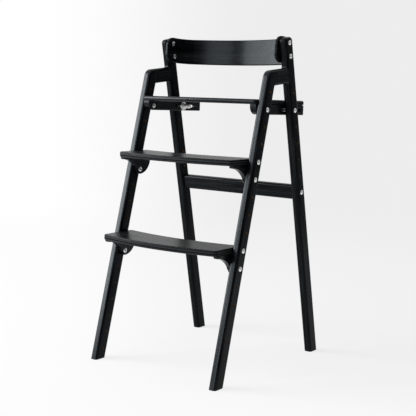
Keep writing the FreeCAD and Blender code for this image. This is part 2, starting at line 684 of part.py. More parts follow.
def thumb_nuts():
    """Large washer and fluted thumb nut on each of the seat's rear bolts."""
    washer = turned("washer", [("-washer_thickness", "washer_hole / 2"), ("0", "washer_hole / 2"),
                               ("0", "washer / 2"), ("-washer_thickness", "washer / 2")])
    nut = turned("thumb_nut", [
        ("-thumb_length", "0"), ("-thumb_bore_depth", "0"), ("-thumb_bore_depth", "thread / 2"),
        ("0", "thread / 2"), ("0", "thumb_flange / 2"), ("-thumb_flange_thickness", "thumb_flange / 2"),
        ("-thumb_flange_thickness", "thumb_grip / 2"), ("-thumb_length", "thumb_grip / 2"),
    ])
    round_edges(nut, "thumb_end_round", lambda e: level(e, X_AXIS, -value("thumb_length")), "end")
    flute = new_sketch(nut, "flute", "YZ_Plane", lift="-thumb_length")
    circle(flute, "flute_diameter", ("0", "thumb_grip / 2 + flute_diameter / 2 - flute_depth"))
    cut = pocket(nut, flute, "thumb_length - 2 * thumb_flange_thickness", forward=True)
    ring = nut.newObject("PartDesign::PolarPattern", "flutes")
    ring.Originals = [cut]
    ring.Axis = (flute, ["N_Axis"])
    ring.Angle = 360
    bind(ring, Occurrences="flute_count")
    nut.Tip = ring
    doc.recompute()
    for side, name in ((LEFT, "left"), (RIGHT, "right")):
        group(name + "_washer", [on_side(washer, side, "washer_seat", "seat_rear_y", "seat_rear_z")])
        group(name + "_thumb_nut", [on_side(nut, side, "thumb_seat", "seat_rear_y", "seat_rear_z")])


# Steps

def step_board(label, hole):
    body = new_body(label)
    under = "-step_thickness / 2"
    bow = "(board_half ^ 2 + step_bow ^ 2) / (2 * step_bow)"
    sketch = new_sketch(body, label + "_outline", "XY_Plane", lift=under)
    outline(sketch, [("-board_half", "-step_front"), ("board_half", "-step_front"),
                     ("board_half", "step_back"), ("-board_half", "step_back")],
            {0: (bow, 1), 2: (bow, -1)})
    pad(body, sketch, "step_thickness")
    round_edges(body, "step_corner",
                lambda e: along(e, Z_AXIS) and level(e, Y_AXIS, -value("step_front")), "corners")
    round_edges(body, "step_heel",
                lambda e: along(e, Z_AXIS) and level(e, Y_AXIS, value("step_back")), "heels")
    round_edges(body, "step_edge",
                lambda e: level(e, Z_AXIS, value(under), value("step_thickness / 2")), "edges")
    for side in (LEFT, RIGHT):
        socket = new_sketch(body, f"{label}_insert_hole_{side + 1}", "YZ_Plane",
                            lift=f"{side} * board_half")
        circle(socket, "insert + 2 * metal_gap")
        pocket(body, socket, "insert_length + metal_gap", forward=side == LEFT)
        for spot in ("-step_dowel_front", "step_dowel_back"):
            peg = new_sketch(body, f"{label}_dowel_hole", "XY_Plane", lift=under)
            circle(peg, "dowel_hole", (f"{side} * (inner - bracket_thickness / 2)", spot))
            pocket(body, peg, "step_dowel_depth + dowel_gap", forward=True)
    place(body, "0", *front_hole(hole))
    node(body, label)


def step_bracket(label, side, hole):
    body = new_body(label)
    sketch = new_sketch(body, label + "_outline", "YZ_Plane")
    nose = ("-bracket_front", "nose_z")
    toe = ("bracket_run - bracket_front", "bracket_bottom")
    outline(sketch, [("-bracket_front", "bracket_top"), nose, toe, ("bracket_back", "bracket_top")],
            {1: ("bracket_hollow", -1), 2: ("bracket_back_radius", 1)})
    pad(body, sketch, "bracket_thickness")
    round_edges(body, "bracket_nose", lambda e: along(e, X_AXIS) and near(e, nose), "nose")
    round_edges(body, "bracket_toe", lambda e: along(e, X_AXIS) and near(e, toe), "toe")
    round_edges(body, "bracket_edge",
                lambda e: level(e, X_AXIS, 0, value("bracket_thickness"))
                and not level(e, Z_AXIS, value("bracket_top")), "edges")
    bore = new_sketch(body, label + "_bolt_hole", "YZ_Plane")
    circle(bore, "sleeve_hole", ("lower_bolt_y", "lower_bolt_z"))
    pocket(body, bore, forward=True)
    for spot in ("-step_dowel_front", "step_dowel_back"):
        peg = new_sketch(body, label + "_dowel_hole", "XY_Plane", lift="bracket_top")
        circle(peg, "dowel_hole", ("bracket_thickness / 2", spot))
        pocket(body, peg, "bracket_dowel_depth + dowel_gap")
    place(body, "-inner" if side == LEFT else "inner - bracket_thickness", *front_hole(hole))
    node(body, label)


def step(name, hole, dowel, step_bolt, step_nut, insert):
    step_board(name + "_board", hole)
    step_bracket(name + "_left_bracket", LEFT, hole)
    step_bracket(name + "_right_bracket", RIGHT, hole)
    upper = front_hole(hole)
    lower = front_hole(f"{hole} + 1")
    group(name + "_dowels", [
        copy(dowel, f"{side} * (inner - bracket_thickness / 2)",
             *shifted(upper, spot, "step_dowel_middle"))
        for side in (LEFT, RIGHT) for spot in ("-step_dowel_front", "step_dowel_back")])
    both_sides(name + "_bolts", step_bolt, "frame_width / 2", upper, lower)
    both_sides(name + "_inserts", insert, "board_half", upper)
    both_sides(name + "_nuts", step_nut, "inner - bracket_thickness", lower)


# Crossbar

def crossbar(dowel):
    body = new_body("rear_crossbar")
    sketch = new_sketch(body, "crossbar_section", "YZ_Plane", lift="-inner")
    half_y, half_z = "crossbar_thickness / 2", "crossbar_height / 2"
    outline(sketch, [(f"-{half_y}", f"-{half_z}"), (half_y, f"-{half_z}"),
                     (half_y, half_z), (f"-{half_y}", half_z)])
    pad(body, sketch, "2 * inner")
    round_edges(body, "crossbar_edge", lambda e: along(e, X_AXIS), "edges")
    round_edges(body, "crossbar_end_edge",
                lambda e: level(e, X_AXIS, -value("inner"), value("inner")), "end_edges")
    for side in (LEFT, RIGHT):
        inward = side == LEFT
        hole = new_sketch(body, f"crossbar_bolt_hole_{side + 1}", "YZ_Plane", lift=f"{side} * inner")
        circle(hole, "bolt_hole")
        pocket(body, hole, "barrel_inset + bolt_bite", forward=inward)
        peg = new_sketch(body, f"crossbar_dowel_hole_{side + 1}", "YZ_Plane", lift=f"{side} * inner")
        circle(peg, "dowel_hole", ("0", "-crossbar_dowel_drop"))
        pocket(body, peg, "long_dowel - crossbar_dowel_depth + dowel_gap", forward=inward)
        barrel = new_sketch(body, f"crossbar_barrel_hole_{side + 1}", "XZ_Plane", lift=f"-{half_y}")
        circle(barrel, "barrel_diameter + 2 * metal_gap", (f"{side} * (inner - barrel_inset)", "0"))
        pocket(body, barrel, f"{half_y} + barrel_length / 2 + metal_gap", forward=True)
    spot = rear_hole("crossbar_hole")
    place(body, "0", *spot, turn="rear_lean")
    node(body, "rear_crossbar")

    nut = rod("barrel_nut", "barrel_diameter", "barrel_length")
    thread = new_sketch(nut, "barrel_thread", "YZ_Plane", lift="barrel_diameter")
    circle(thread, "thread")
    pocket(nut, thread)
    group("crossbar_barrel_nuts", [
        copy(nut, f"{side} * (inner - barrel_inset)", *spot, X_AXIS, "90 + rear_lean")
        for side in (LEFT, RIGHT)])
    shank = "leg_thickness + barrel_inset + bolt_bite - thread_gap"
    both_sides("crossbar_bolts", bolt("crossbar_bolt", shank), "frame_width / 2", spot)
    lower = rear_leg_point("rear_row - crossbar_hole * hole_pitch - crossbar_dowel_drop")
    group("crossbar_dowels", [
        copy(dowel, f"{side} * (inner + crossbar_dowel_depth - long_dowel / 2)", *lower, Y_AXIS, "90")
        for side in (LEFT, RIGHT)])


# Backrest

def backrest():
    body = new_body("backrest")
    sketch = new_sketch(body, "backrest_plan", "XY_Plane", lift="-backrest_height / 2")
    outer = ("bend_x * backrest_curve / bend_to_curve",
             "curve_y + (backrest_flat - curve_y) * backrest_curve / bend_to_curve")
    thin = "(backrest_curve - backrest_thickness)"
    inside = (f"bend_x * {thin} / bend_to_curve",
              f"curve_y + (backrest_flat - curve_y) * {thin} / bend_to_curve")
    right = [("inner", "-backrest_reach"), ("inner", "backrest_flat"), outer]
    back = [inside, ("inner - backrest_thickness", "backrest_flat"),
            ("inner - backrest_thickness", "-backrest_reach")]
    mirrored = [(f"-({x})", y) for x, y in right[::-1] + back[::-1]]
    bend, curve = "backrest_bend", "backrest_curve"
    inner_bend, inner_curve = "backrest_bend - backrest_thickness", "backrest_curve - backrest_thickness"
    outline(sketch, right + mirrored + back,
            {1: (bend, 1), 2: (curve, 1), 3: (bend, 1),
             7: (inner_bend, -1), 8: (inner_curve, -1), 9: (inner_bend, -1)})
    pad(body, sketch, "backrest_height")
    front, half = -value("backrest_reach"), value("backrest_height / 2")
    round_edges(body, "backrest_corner", lambda e: along(e, X_AXIS) and level(e, Y_AXIS, front), "corners")
    round_edges(body, "backrest_edge",
                lambda e: not along(e, X_AXIS)
                and (level(e, Z_AXIS, half, -half) or level(e, Y_AXIS, front)),
                "edges")
    hole = new_sketch(body, "backrest_bolt_holes", "YZ_Plane", lift="inner", turn="backrest_twist")
    circle(hole, "sleeve_hole", ("0", "backrest_bolt_pitch / 2"))
    row(body, pocket(body, hole), hole, "V_Axis", "backrest_bolt_pitch", "2", backward=True)
    place(body, "0", *rear_leg_point("backrest_along"), turn="-backrest_tilt")
    node(body, "backrest")

    spots = [rear_leg_point(f"post_length - backrest_bolt_drop - {number} * backrest_bolt_pitch")
             for number in (0, 1)]
    both_sides("backrest_bolts", bolt("backrest_bolt", "leg_thickness + backrest_thickness - thread_gap"),
               "frame_width / 2", *spots)
    both_sides("backrest_nuts", sleeve_nut("backrest_nut", "backrest_thickness - sleeve_setback"),
               "inner - backrest_thickness", *spots)


def build():
    fill_sheet()
    long_dowel = rod("long_dowel_rod", "dowel_diameter", "long_dowel")
    seat_dowel = rod("seat_dowel_rod", "dowel_diameter", "seat_dowel")
    step_dowel = rod("step_dowel_rod", "dowel_diameter", "step_dowel")
    for dowel in (long_dowel, seat_dowel, step_dowel):
        round_edges(dowel, "dowel_chamfer", lambda e: e.Curve.TypeId == "Part::GeomCircle", "ends",
                    "PartDesign::Chamfer")
    bore = rod("arm_dowel_bore", "dowel_hole", "long_dowel + 2 * dowel_gap")
    for side in (LEFT, RIGHT):
        side_frame(side, long_dowel, bore)
    backrest()
    for side in (LEFT, RIGHT):
        seat_rail(side)
    seat_board()
    seat_dowels(seat_dowel)
    seat_front = [("seat_front_y", "seat_front_z")]
    both_sides("seat_front_bolts", bolt("seat_front_bolt", "leg_thickness + sleeve_setback + bolt_bite"),
               "frame_width / 2", *seat_front)
    both_sides("seat_front_nuts", sleeve_nut("seat_front_nut", "rail_thickness - sleeve_setback"),
               "rail_inside", *seat_front)
    both_sides("seat_rear_bolts", bolt("seat_rear_bolt", "frame_width / 2 - thumb_seat + bolt_bite"),
               "frame_width / 2", ("seat_rear_y", "seat_rear_z"))
    thumb_nuts()
    step_bolt = bolt("step_bolt", "leg_thickness + sleeve_setback + bolt_bite - thread_gap")
    step_nut = sleeve_nut("step_nut", "bracket_thickness - sleeve_setback")
    insert = turned("insert", [("-insert_length", "thread / 2"), ("0", "thread / 2"),
                               ("0", "insert / 2"), ("-insert_length", "insert / 2")])
    for name in ("upper_step", "lower_step"):
        step(name, name + "_hole", step_dowel, step_bolt, step_nut, insert)
    crossbar(long_dowel)
    doc.recompute()


def export():
    for thing in doc.Objects:
        if "Invalid" in thing.State or "Error" in thing.State:
            raise RuntimeError(f"{thing.Label} failed: {thing.State}")
    for thing in nodes:
        if thing.Shape.isNull() or not thing.Shape.isValid() or not thing.Shape.Solids:
            raise RuntimeError(f"{thing.Label} has no valid solid")
    os.makedirs("parts", exist_ok=True)
    for thing in nodes:
        thing.Shape.exportStep(f"parts/{thing.Label}.step")
    box = FreeCAD.BoundBox()
    for thing in nodes:
        box.add(thing.Shape.BoundBox)
    print(f"{len(nodes)} nodes, box {box}")


build()
export()
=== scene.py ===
import math

import bpy
import numpy as np
from bpy.props import FloatProperty, FloatVectorProperty, IntProperty, PointerProperty
from mathutils import Matrix, Vector


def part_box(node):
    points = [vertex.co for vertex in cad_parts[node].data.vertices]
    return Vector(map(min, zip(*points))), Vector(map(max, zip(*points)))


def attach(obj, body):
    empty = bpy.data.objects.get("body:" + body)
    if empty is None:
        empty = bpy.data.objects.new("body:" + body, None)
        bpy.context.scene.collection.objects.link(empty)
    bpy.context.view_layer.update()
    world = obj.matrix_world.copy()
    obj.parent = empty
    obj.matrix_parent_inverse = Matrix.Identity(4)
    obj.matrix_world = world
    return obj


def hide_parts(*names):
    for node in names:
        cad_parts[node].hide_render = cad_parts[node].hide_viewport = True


bl_info = {
    "name": "Toddler counter height chair",
    "version": (1, 0, 0),
    "blender": (4, 5, 0),
    "location": "3D View > Sidebar > Chair",
    "description": "Finishes and fastenings of a tall wooden child's chair, and a studio for it",
    "category": "Object",
}

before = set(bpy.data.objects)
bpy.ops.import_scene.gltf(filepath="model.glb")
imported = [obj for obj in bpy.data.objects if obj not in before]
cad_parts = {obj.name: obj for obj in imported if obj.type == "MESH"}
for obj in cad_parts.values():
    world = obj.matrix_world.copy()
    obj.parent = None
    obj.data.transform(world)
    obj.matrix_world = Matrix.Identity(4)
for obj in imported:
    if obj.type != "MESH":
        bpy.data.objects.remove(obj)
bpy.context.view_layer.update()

MM = 0.001

# Lines of the side frames, from the middle of a foot up along the leg
FRONT_FOOT = -224.47 * MM
REAR_FOOT = 224.70 * MM
FRONT_LEAN = math.radians(14.7)
REAR_LEAN = math.radians(11.7)
ARM_SLOPE = math.radians(6)
FRONT_ROW = 746.54 * MM
REAR_ROW = 735.5 * MM
HOLE_PITCH = 45 * MM
HOLE_RADIUS = 3.5 * MM
SEAT_TILT = math.radians(1.06)

# Faces of the side frames, from the middle of the chair
FRAME_OUTSIDE = 208.5 * MM
FRAME_INSIDE = 186.5 * MM

# Plan of the bent backrest, in its own leaning plane; an arc is its middle's X and Y, and its radius
BACKREST_PLACE = Vector((0, 52.02, 833.81)) * MM
BACKREST_TILT = math.radians(3.5)
BACKREST_THICKNESS = 9 * MM
BACKREST_CURVE = (0.0, -360.6 * MM, 450 * MM)
BACKREST_BEND = (134.5 * MM, 14 * MM, 52 * MM)

# Darkest tones of the stain: in open pores, in the end grain of the layers and in its specks
PORE_TONE = (0.0030, 0.0033, 0.0037, 1.0)
END_GRAIN_TONE = (0.0040, 0.0043, 0.0047, 1.0)
SPECK_TONE = (0.0035, 0.0038, 0.0042, 1.0)
COOL_GLOSS = (0.82, 0.93, 1.0, 1.0)

# Depth of the lathe's marks on turned metal, and the room around a bolt in a nut and in a washer
LATHE_MARKS = 0.03 * MM
INSERT_MARKS = 0.04 * MM
THREAD_ROOM = 0.1 * MM
WASHER_ROOM = 0.6 * MM

# Points of a node that lie this near to the same line along X belong to one bolt or nut
SOLID_REACH = 16 * MM

# Studio; a place is an azimuth in degrees from the chair's front to its right, a distance and a height
SOFT_BOX_SIZE = (2.56, 2.7)
SOFT_BOX_PLACE = (-55.3, 4.0, 1.9)
PANEL_SIZE = (1.33, 2.4)
PANEL_PLACE = (-19, 4.0, 1.55)
LAMP_AIM = (0, 0, 0.9)
FLOOR_RADIUS = 12
FLOOR_SIDES = 96
SCREEN_RADIUS = 2.2
SCREEN_HEIGHTS = (0.02, 1.9)
SCREEN_START = -8
SCREEN_STEP = 5.6
SCREEN_STRIPS = 30


class WoodSettings(bpy.types.PropertyGroup):
    """Black stained wood"""
    stain: FloatVectorProperty(
        name="Stain", description="Colour of the stained wood between its pores", subtype="COLOR",
        size=3, min=0, max=1, default=(0.0025, 0.0030, 0.0035))
    grain: FloatVectorProperty(
        name="Grain", description="Colour of the paler growth lines under the stain", subtype="COLOR",
        size=3, min=0, max=1, default=(0.0140, 0.0155, 0.0170))
    edge: FloatVectorProperty(
        name="Edge", description="Colour of the rounded edges, where the stain is thin", subtype="COLOR",
        size=3, min=0, max=1, default=(0.0250, 0.0265, 0.0280))
    bore: FloatVectorProperty(
        name="Bore", description="Colour of the raw wood inside the drilled holes", subtype="COLOR",
        size=3, min=0, max=1, default=(0.190, 0.118, 0.066))
    beech: FloatVectorProperty(
        name="Dowel beech", description="Colour of the raw dowels", subtype="COLOR",
        size=3, min=0, max=1, default=(0.62, 0.45, 0.28))
    roughness: FloatProperty(
        name="Roughness", description="Roughness of the satin finish on flat wood", subtype="FACTOR",
        min=0, max=1, default=0.26)
    gloss: FloatProperty(
        name="Gloss", description="Strength of the reflections on the thin matt varnish", subtype="FACTOR",
        min=0, max=1, default=0.175)
    pore_depth: FloatProperty(
        name="Pore depth", description="Depth of the open pores along the grain", subtype="DISTANCE",
        unit="LENGTH", min=0, max=0.001, default=0.00003)
    ply: FloatProperty(
        name="Ply", description="Thickness of one layer of the boards", subtype="DISTANCE",
        unit="LENGTH", min=0.0005, max=0.01, default=0.003)


class FasteningSettings(bpy.types.PropertyGroup):
    """Bolts, nuts and washers"""
    head: FloatProperty(
        name="Bolt head", description="Bolt head across", subtype="DISTANCE", unit="LENGTH",
        min=0.006, max=0.03, default=0.0124)
    head_height: FloatProperty(
        name="Head height", description="Bolt head, seat to crown", subtype="DISTANCE", unit="LENGTH",
        min=0.001, max=0.01, default=0.0034)
    shank: FloatProperty(
        name="Shank", description="Bolt diameter", subtype="DISTANCE", unit="LENGTH",
        min=0.003, max=0.012, default=0.006)
    pitch: FloatProperty(
        name="Thread pitch", description="Thread crest to crest", subtype="DISTANCE", unit="LENGTH",
        min=0.0004, max=0.002, default=0.001)
    socket: FloatProperty(
        name="Socket", description="Six-sided socket across its flats", subtype="DISTANCE", unit="LENGTH",
        min=0.001, max=0.008, default=0.004)
    socket_depth: FloatProperty(
        name="Socket depth", description="Socket below the crown", subtype="DISTANCE", unit="LENGTH",
        min=0.0005, max=0.005, default=0.002)
    nut_head: FloatProperty(
        name="Nut head", description="Sleeve nut's head across", subtype="DISTANCE", unit="LENGTH",
        min=0.006, max=0.03, default=0.013)
    flutes: IntProperty(
        name="Flutes", description="Grooves around a thumb nut's grip", min=6, max=28, default=14)
    flute_depth: FloatProperty(
        name="Flute depth", description="Depth of the grip's grooves", subtype="DISTANCE", unit="LENGTH",
        min=0, max=0.001, default=0.00022)
    steel: FloatVectorProperty(
        name="Zinc", description="Colour of the zinc on bolts and sleeve nuts", subtype="COLOR",
        size=3, min=0, max=1, default=(0.93, 0.94, 0.95))
    nickel: FloatVectorProperty(
        name="Nickel", description="Colour of the washers and thumb nuts", subtype="COLOR",
        size=3, min=0, max=1, default=(0.97, 0.97, 0.96))
    seed: IntProperty(
        name="Seed", description="Turns the sockets to different angles", min=0, default=7)


class StageSettings(bpy.types.PropertyGroup):
    """Camera, floor and studio light"""
    camera_place: FloatVectorProperty(
        name="Camera", description="Camera's place", subtype="TRANSLATION", unit="LENGTH", size=3,
        default=(1.51457, -2.02961, 0.73711))
    yaw: FloatProperty(
        name="Yaw", description="Camera's turn to the left from straight back", subtype="ANGLE",
        unit="ROTATION", default=math.radians(36.8957))
    pitch: FloatProperty(
        name="Pitch", description="Camera's tilt down", subtype="ANGLE", unit="ROTATION",
        default=math.radians(5.3358))
    roll: FloatProperty(
        name="Roll", description="Camera's roll", subtype="ANGLE", unit="ROTATION",
        default=math.radians(1.2705))
    lens: FloatProperty(
        name="Lens", description="Focal length on a 36 mm sensor", unit="CAMERA", default=81.3085)
    shift: FloatProperty(
        name="Shift", description="Vertical lens shift, as a share of the picture", default=-0.08413)
    floor: FloatVectorProperty(
        name="Floor", description="Colour of the floor", subtype="COLOR", size=3, min=0, max=1,
        default=(0.86, 0.86, 0.86))
    # Painted shade: the backdrop's grey side is where the light falls off, on the right of the picture.
    backdrop_shade: FloatVectorProperty(
        name="Backdrop", description="Colour of the backdrop on its grey side", subtype="COLOR", size=3,
        min=0, max=1, default=(0.846, 0.846, 0.846))
    ambient: FloatProperty(
        name="Ambient", description="Level of the light from all round", min=0, max=2, default=0.30)
    soft_box: FloatProperty(
        name="Soft box", description="Power of the tall soft box at the left", unit="POWER",
        min=0, default=272)
    panel: FloatProperty(
        name="Panel", description="Power of the dimmer panel beside it, nearer the front", unit="POWER",
        min=0, default=50)
    shadow: FloatProperty(
        name="Shadow", description="How much of the chair's shadow the floor keeps", subtype="FACTOR",
        min=0, max=1, default=0.19)


class Flow:
    """An output in a node tree, with the arithmetic that goes on from it."""

    def __init__(self, graph, socket):
        self.graph = graph
        self.socket = socket

    def __add__(self, other):
        return self.graph.math("ADD", self, other)

    def __radd__(self, other):
        return self.graph.math("ADD", other, self)

    def __sub__(self, other):
        return self.graph.math("SUBTRACT", self, other)

    def __rsub__(self, other):
        return self.graph.math("SUBTRACT", other, self)

    def __mul__(self, other):
        return self.graph.math("MULTIPLY", self, other)

    def __truediv__(self, other):
        return self.graph.math("DIVIDE", self, other)

    def __neg__(self):
        return self.graph.math("MULTIPLY", self, -1)


class Graph:
    """Adds nodes to a tree and links them."""

    def __init__(self, tree):
        self.tree = tree

    def feed(self, socket, value):
        if isinstance(value, Flow):
            self.tree.links.new(value.socket, socket)
        else:
            socket.default_value = value

    def node(self, kind, inputs=None, **settings):
        made = self.tree.nodes.new(kind)
        for name, value in settings.items():
            setattr(made, name, value)
        for key, value in (inputs or {}).items():
            self.feed(made.inputs[key], value)
        return made

    def out(self, made, output=0):
        return Flow(self, made.outputs[output])

    def math(self, operation, *values):
        made = self.tree.nodes.new("ShaderNodeMath")
        made.operation = operation
        for socket, value in zip(made.inputs, values):
            self.feed(socket, value)
        return self.out(made)

    def split(self, vector):
        made = self.node("ShaderNodeSeparateXYZ", {0: vector})
        return self.out(made, 0), self.out(made, 1), self.out(made, 2)

    def join(self, x, y, z):
        return self.out(self.node("ShaderNodeCombineXYZ", {0: x, 1: y, 2: z}))

    def smooth(self, value, low, high):
        made = self.node("ShaderNodeMapRange", {0: value, 1: low, 2: high, 3: 0.0, 4: 1.0},
                         interpolation_type="SMOOTHSTEP")
        return self.out(made)

    def blend(self, share, first, second):
        """Colour between two colours."""
        made = self.node("ShaderNodeMix", {0: share, 6: first, 7: second}, data_type="RGBA")
        return self.out(made, 2)

    def noise(self, vector, scale, detail=2.0, roughness=0.5):
        made = self.node("ShaderNodeTexNoise", {"Vector": vector, "Scale": scale, "Detail": detail,
                                                "Roughness": roughness})
        return self.out(made, 0)

    def stretch(self, vector, by):
        made = self.node("ShaderNodeVectorMath", {0: vector, 1: by}, operation="MULTIPLY")
        return self.out(made)


def colour(value, share=1.0):
    """Colour of a setting, or a share of it, as a node socket takes it."""
    return (*(part * share for part in value), 1.0)


def grey(level):
    return (level, level, level, 1.0)


def new_material(name):
    """Material with a bare surface shader, and the graph it is built in."""
    material = bpy.data.materials.new(name)
    material.use_nodes = True
    graph = Graph(material.node_tree)
    shader = material.node_tree.nodes["Principled BSDF"]
    return material, graph, shader


def finish_node(name, material):
    """Give a piece of the frame its finish."""
    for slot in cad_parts[name].material_slots:
        slot.material = material


# Wood

def along_piece(graph, place, turn):
    """Coordinates and normal of a piece with its grain along Z, and its middle at the origin."""
    source = graph.node("ShaderNodeTexCoord")
    centre = graph.node("ShaderNodeVectorMath", {0: graph.out(source, "Object"), 1: place},
                        operation="SUBTRACT")
    point = graph.node("ShaderNodeMapping", {"Vector": graph.out(centre), "Rotation": turn})
    normal = graph.node("ShaderNodeMapping", {"Vector": graph.out(source, "Normal"), "Rotation": turn},
                        vector_type="VECTOR")
    return graph.out(point), graph.out(normal)


def hole_row(graph, point, first, count):
    """One inside the drilled holes of a leg's row, zero elsewhere."""
    across, along = graph.split(point)[1:]
    last = first - (count - 1) * HOLE_PITCH
    nearest = graph.math("WRAP", along - first, HOLE_PITCH / 2, -HOLE_PITCH / 2)
    distance = graph.math("SQRT", across * across + nearest * nearest)
    inside = graph.math("LESS_THAN", distance, HOLE_RADIUS + 0.12 * MM)
    above = graph.math("GREATER_THAN", along, last - HOLE_PITCH / 2)
    below = graph.math("LESS_THAN", along, first + HOLE_PITCH / 2)
    return inside * above * below


def backrest_depth(graph, point):
    """Distance from the middle layer of the bent strip."""
    x, y, _ = graph.split(point)
    side = graph.math("ABSOLUTE", x)

    def from_arc(arc):
        middle_x, middle_y, radius = arc
        dx, dy = side - middle_x, y - middle_y
        return graph.math("SQRT", dx * dx + dy * dy) - (radius - BACKREST_THICKNESS / 2)

    def nearer(first, second):
        chosen = graph.math("LESS_THAN", graph.math("ABSOLUTE", first), graph.math("ABSOLUTE", second))
        return chosen * first + (1.0 - chosen) * second

    flat = side - (FRAME_INSIDE - BACKREST_THICKNESS / 2)
    return nearer(nearer(from_arc(BACKREST_CURVE), from_arc(BACKREST_BEND)), flat)


def stained_wood(name, wood, place, turn, stretch=(1, 1, 0.035), holes=None, layers=None, sheen=1.0,
                 polish=0.0, figure=1.0, broad_face=1.0):
    """Black stained wood: growth lines, open pores and thin stain on the edges; the grain runs along Z.

    holes gives the first hole and the count of a drilled row. layers is a function for plywood: it returns
    the depth from the middle layer, one on the flat faces and zero on the edges, and a share for the duller
    lower layers. sheen scales the gloss, and broad_face scales it again on the faces that look along X;
    polish lowers the roughness, and figure scales how far the grain shows in the relief."""
    material, graph, shader = new_material(name)
    point, normal = along_piece(graph, place, turn)
    fibre = graph.stretch(point, stretch)
    broad = graph.noise(fibre, 42.0, 2.0)
    lines = graph.noise(fibre, 260.0, 3.0, 0.6)
    pores = graph.smooth(graph.noise(fibre, 1500.0, 2.0, 0.55), 0.56, 0.70)
    streak = graph.smooth(lines * 0.72 + broad * 0.42, 0.52, 0.82)
    paint = graph.blend(streak, colour(wood.stain), colour(wood.grain))
    paint = graph.blend(pores * 0.6, paint, PORE_TONE)
    nx, ny, nz = graph.split(normal)
    most = graph.math("MAXIMUM", graph.math("ABSOLUTE", nx), graph.math("ABSOLUTE", ny))
    most = graph.math("MAXIMUM", most, graph.math("ABSOLUTE", nz))
    edge = graph.smooth(1.0 - most, 0.03, 0.26)
    worn = edge * graph.smooth(lines, 0.46, 0.74)
    paint = graph.blend(worn * 0.7, paint, colour(wood.edge))
    height = streak * 0.22 - pores
    if layers:
        depth, flat, lower = layers(graph, point, (nx, ny, nz))
        layer = graph.math("PINGPONG", depth + wood.ply / 2, wood.ply)
        end_grain = graph.smooth(layer / wood.ply, 0.42, 0.58)
        on_edge = 1.0 - graph.smooth(flat, 0.45, 0.85)
        speckle = graph.smooth(graph.noise(point, 900.0, 2.0), 0.35, 0.65)
        tone = graph.blend(end_grain, colour(wood.edge), END_GRAIN_TONE)
        tone = graph.blend(speckle * 0.35, tone, SPECK_TONE)
        paint = graph.blend(on_edge * 0.85, paint, tone)
        mottle = graph.noise(graph.stretch(point, (1, 1, 0.3)), 280.0, 2.0)
        height = (height + (mottle - 0.5) * 1.2) - on_edge * end_grain * (0.5 + speckle * 0.6)
        dull = on_edge * (0.2 + (end_grain + lower) * 0.35)
        shine = (1.0 - dull) * (0.7 + mottle * 0.6) * (wood.gloss * sheen)
        graph.feed(shader.inputs["Specular IOR Level"], shine)
    elif broad_face < 1.0:
        on_face = graph.smooth(graph.math("ABSOLUTE", nx), 0.6, 0.95)
        shine = (1.0 - on_face * (1.0 - broad_face)) * (wood.gloss * sheen)
        graph.feed(shader.inputs["Specular IOR Level"], shine)
    else:
        shader.inputs["Specular IOR Level"].default_value = wood.gloss * sheen
    if holes:
        bore = hole_row(graph, point, *holes)
        raw = graph.blend(graph.noise(point, 700.0, 3.0), colour(wood.bore),
                          colour(wood.bore, 0.45))
        paint = graph.blend(bore, paint, raw)
    rough = (wood.roughness - 0.05 - polish) + streak * (0.10 * figure)
    rough = rough + pores * (0.16 * figure) + edge * -0.04
    bump = graph.node("ShaderNodeBump", {"Strength": 0.55 * figure, "Distance": wood.pore_depth,
                                         "Height": height})
    graph.feed(shader.inputs["Base Color"], paint)
    graph.feed(shader.inputs["Roughness"], rough)
    graph.feed(shader.inputs["Normal"], graph.out(bump))
    shader.inputs["Specular Tint"].default_value = COOL_GLOSS
    return material


def raw_beech(wood):
    """Pale beech of the dowels, with short flecks."""
    material, graph, shader = new_material("raw_beech")
    source = graph.node("ShaderNodeTexCoord")
    point = graph.out(source, "Object")
    fibre = graph.stretch(point, (0.08, 1, 1))
    lines = graph.noise(fibre, 900.0, 3.0)
    flecks = graph.smooth(graph.noise(fibre, 2600.0, 1.0), 0.60, 0.72)
    paint = graph.blend(lines, colour(wood.beech), colour(wood.beech, 0.72))
    paint = graph.blend(flecks * 0.5, paint, (0.26, 0.15, 0.08, 1.0))
    bump = graph.node("ShaderNodeBump", {"Strength": 0.4, "Distance": wood.pore_depth,
                                         "Height": lines - flecks})
    graph.feed(shader.inputs["Base Color"], paint)
    graph.feed(shader.inputs["Roughness"], 0.55 + lines * 0.15)
    graph.feed(shader.inputs["Normal"], graph.out(bump))
    return material


def turned_metal(name, tint, low, high, marks, shank=1.0, metal=1.0):
    """Plated steel with cloudy tone and fine marks of the lathe around each piece's own axis.

    shank is the tone of the thread below a bolt's head: a painted shade, as the thread lies in shade inside
    the wood and the slots; metal is lower for plating that is blasted to a pale satin."""
    material, graph, shader = new_material(name)
    source = graph.node("ShaderNodeTexCoord")
    cloud = graph.noise(graph.out(source, "Object"), 420.0, 3.0, 0.6)
    fine = graph.noise(graph.out(source, "Object"), 3800.0, 2.0)
    lathe = graph.node("ShaderNodeAttribute", attribute_name="lathe")
    rings = graph.noise(graph.stretch(graph.out(lathe, 1), (9000.0, 9000.0, 0.0)), 1.0, 2.0)
    paint = graph.blend(cloud, colour(tint, 0.86), colour(tint))
    if shank < 1.0:
        # Painted shade: the thread below the head is darkened, as it lies in shade inside the wood and the
        # slots.
        above = graph.smooth(graph.split(graph.out(lathe, 1))[1], -1.0 * MM, 0.0)
        paint = graph.blend(above, colour(tint, shank), paint)
    rough = low + cloud * (high - low) + graph.smooth(fine, 0.6, 0.8) * 0.08
    bump = graph.node("ShaderNodeBump", {"Strength": 0.25, "Distance": marks,
                                         "Height": rings + fine * 0.4})
    graph.feed(shader.inputs["Base Color"], paint)
    graph.feed(shader.inputs["Roughness"], rough)
    graph.feed(shader.inputs["Normal"], graph.out(bump))
    shader.inputs["Metallic"].default_value = metal
    return material


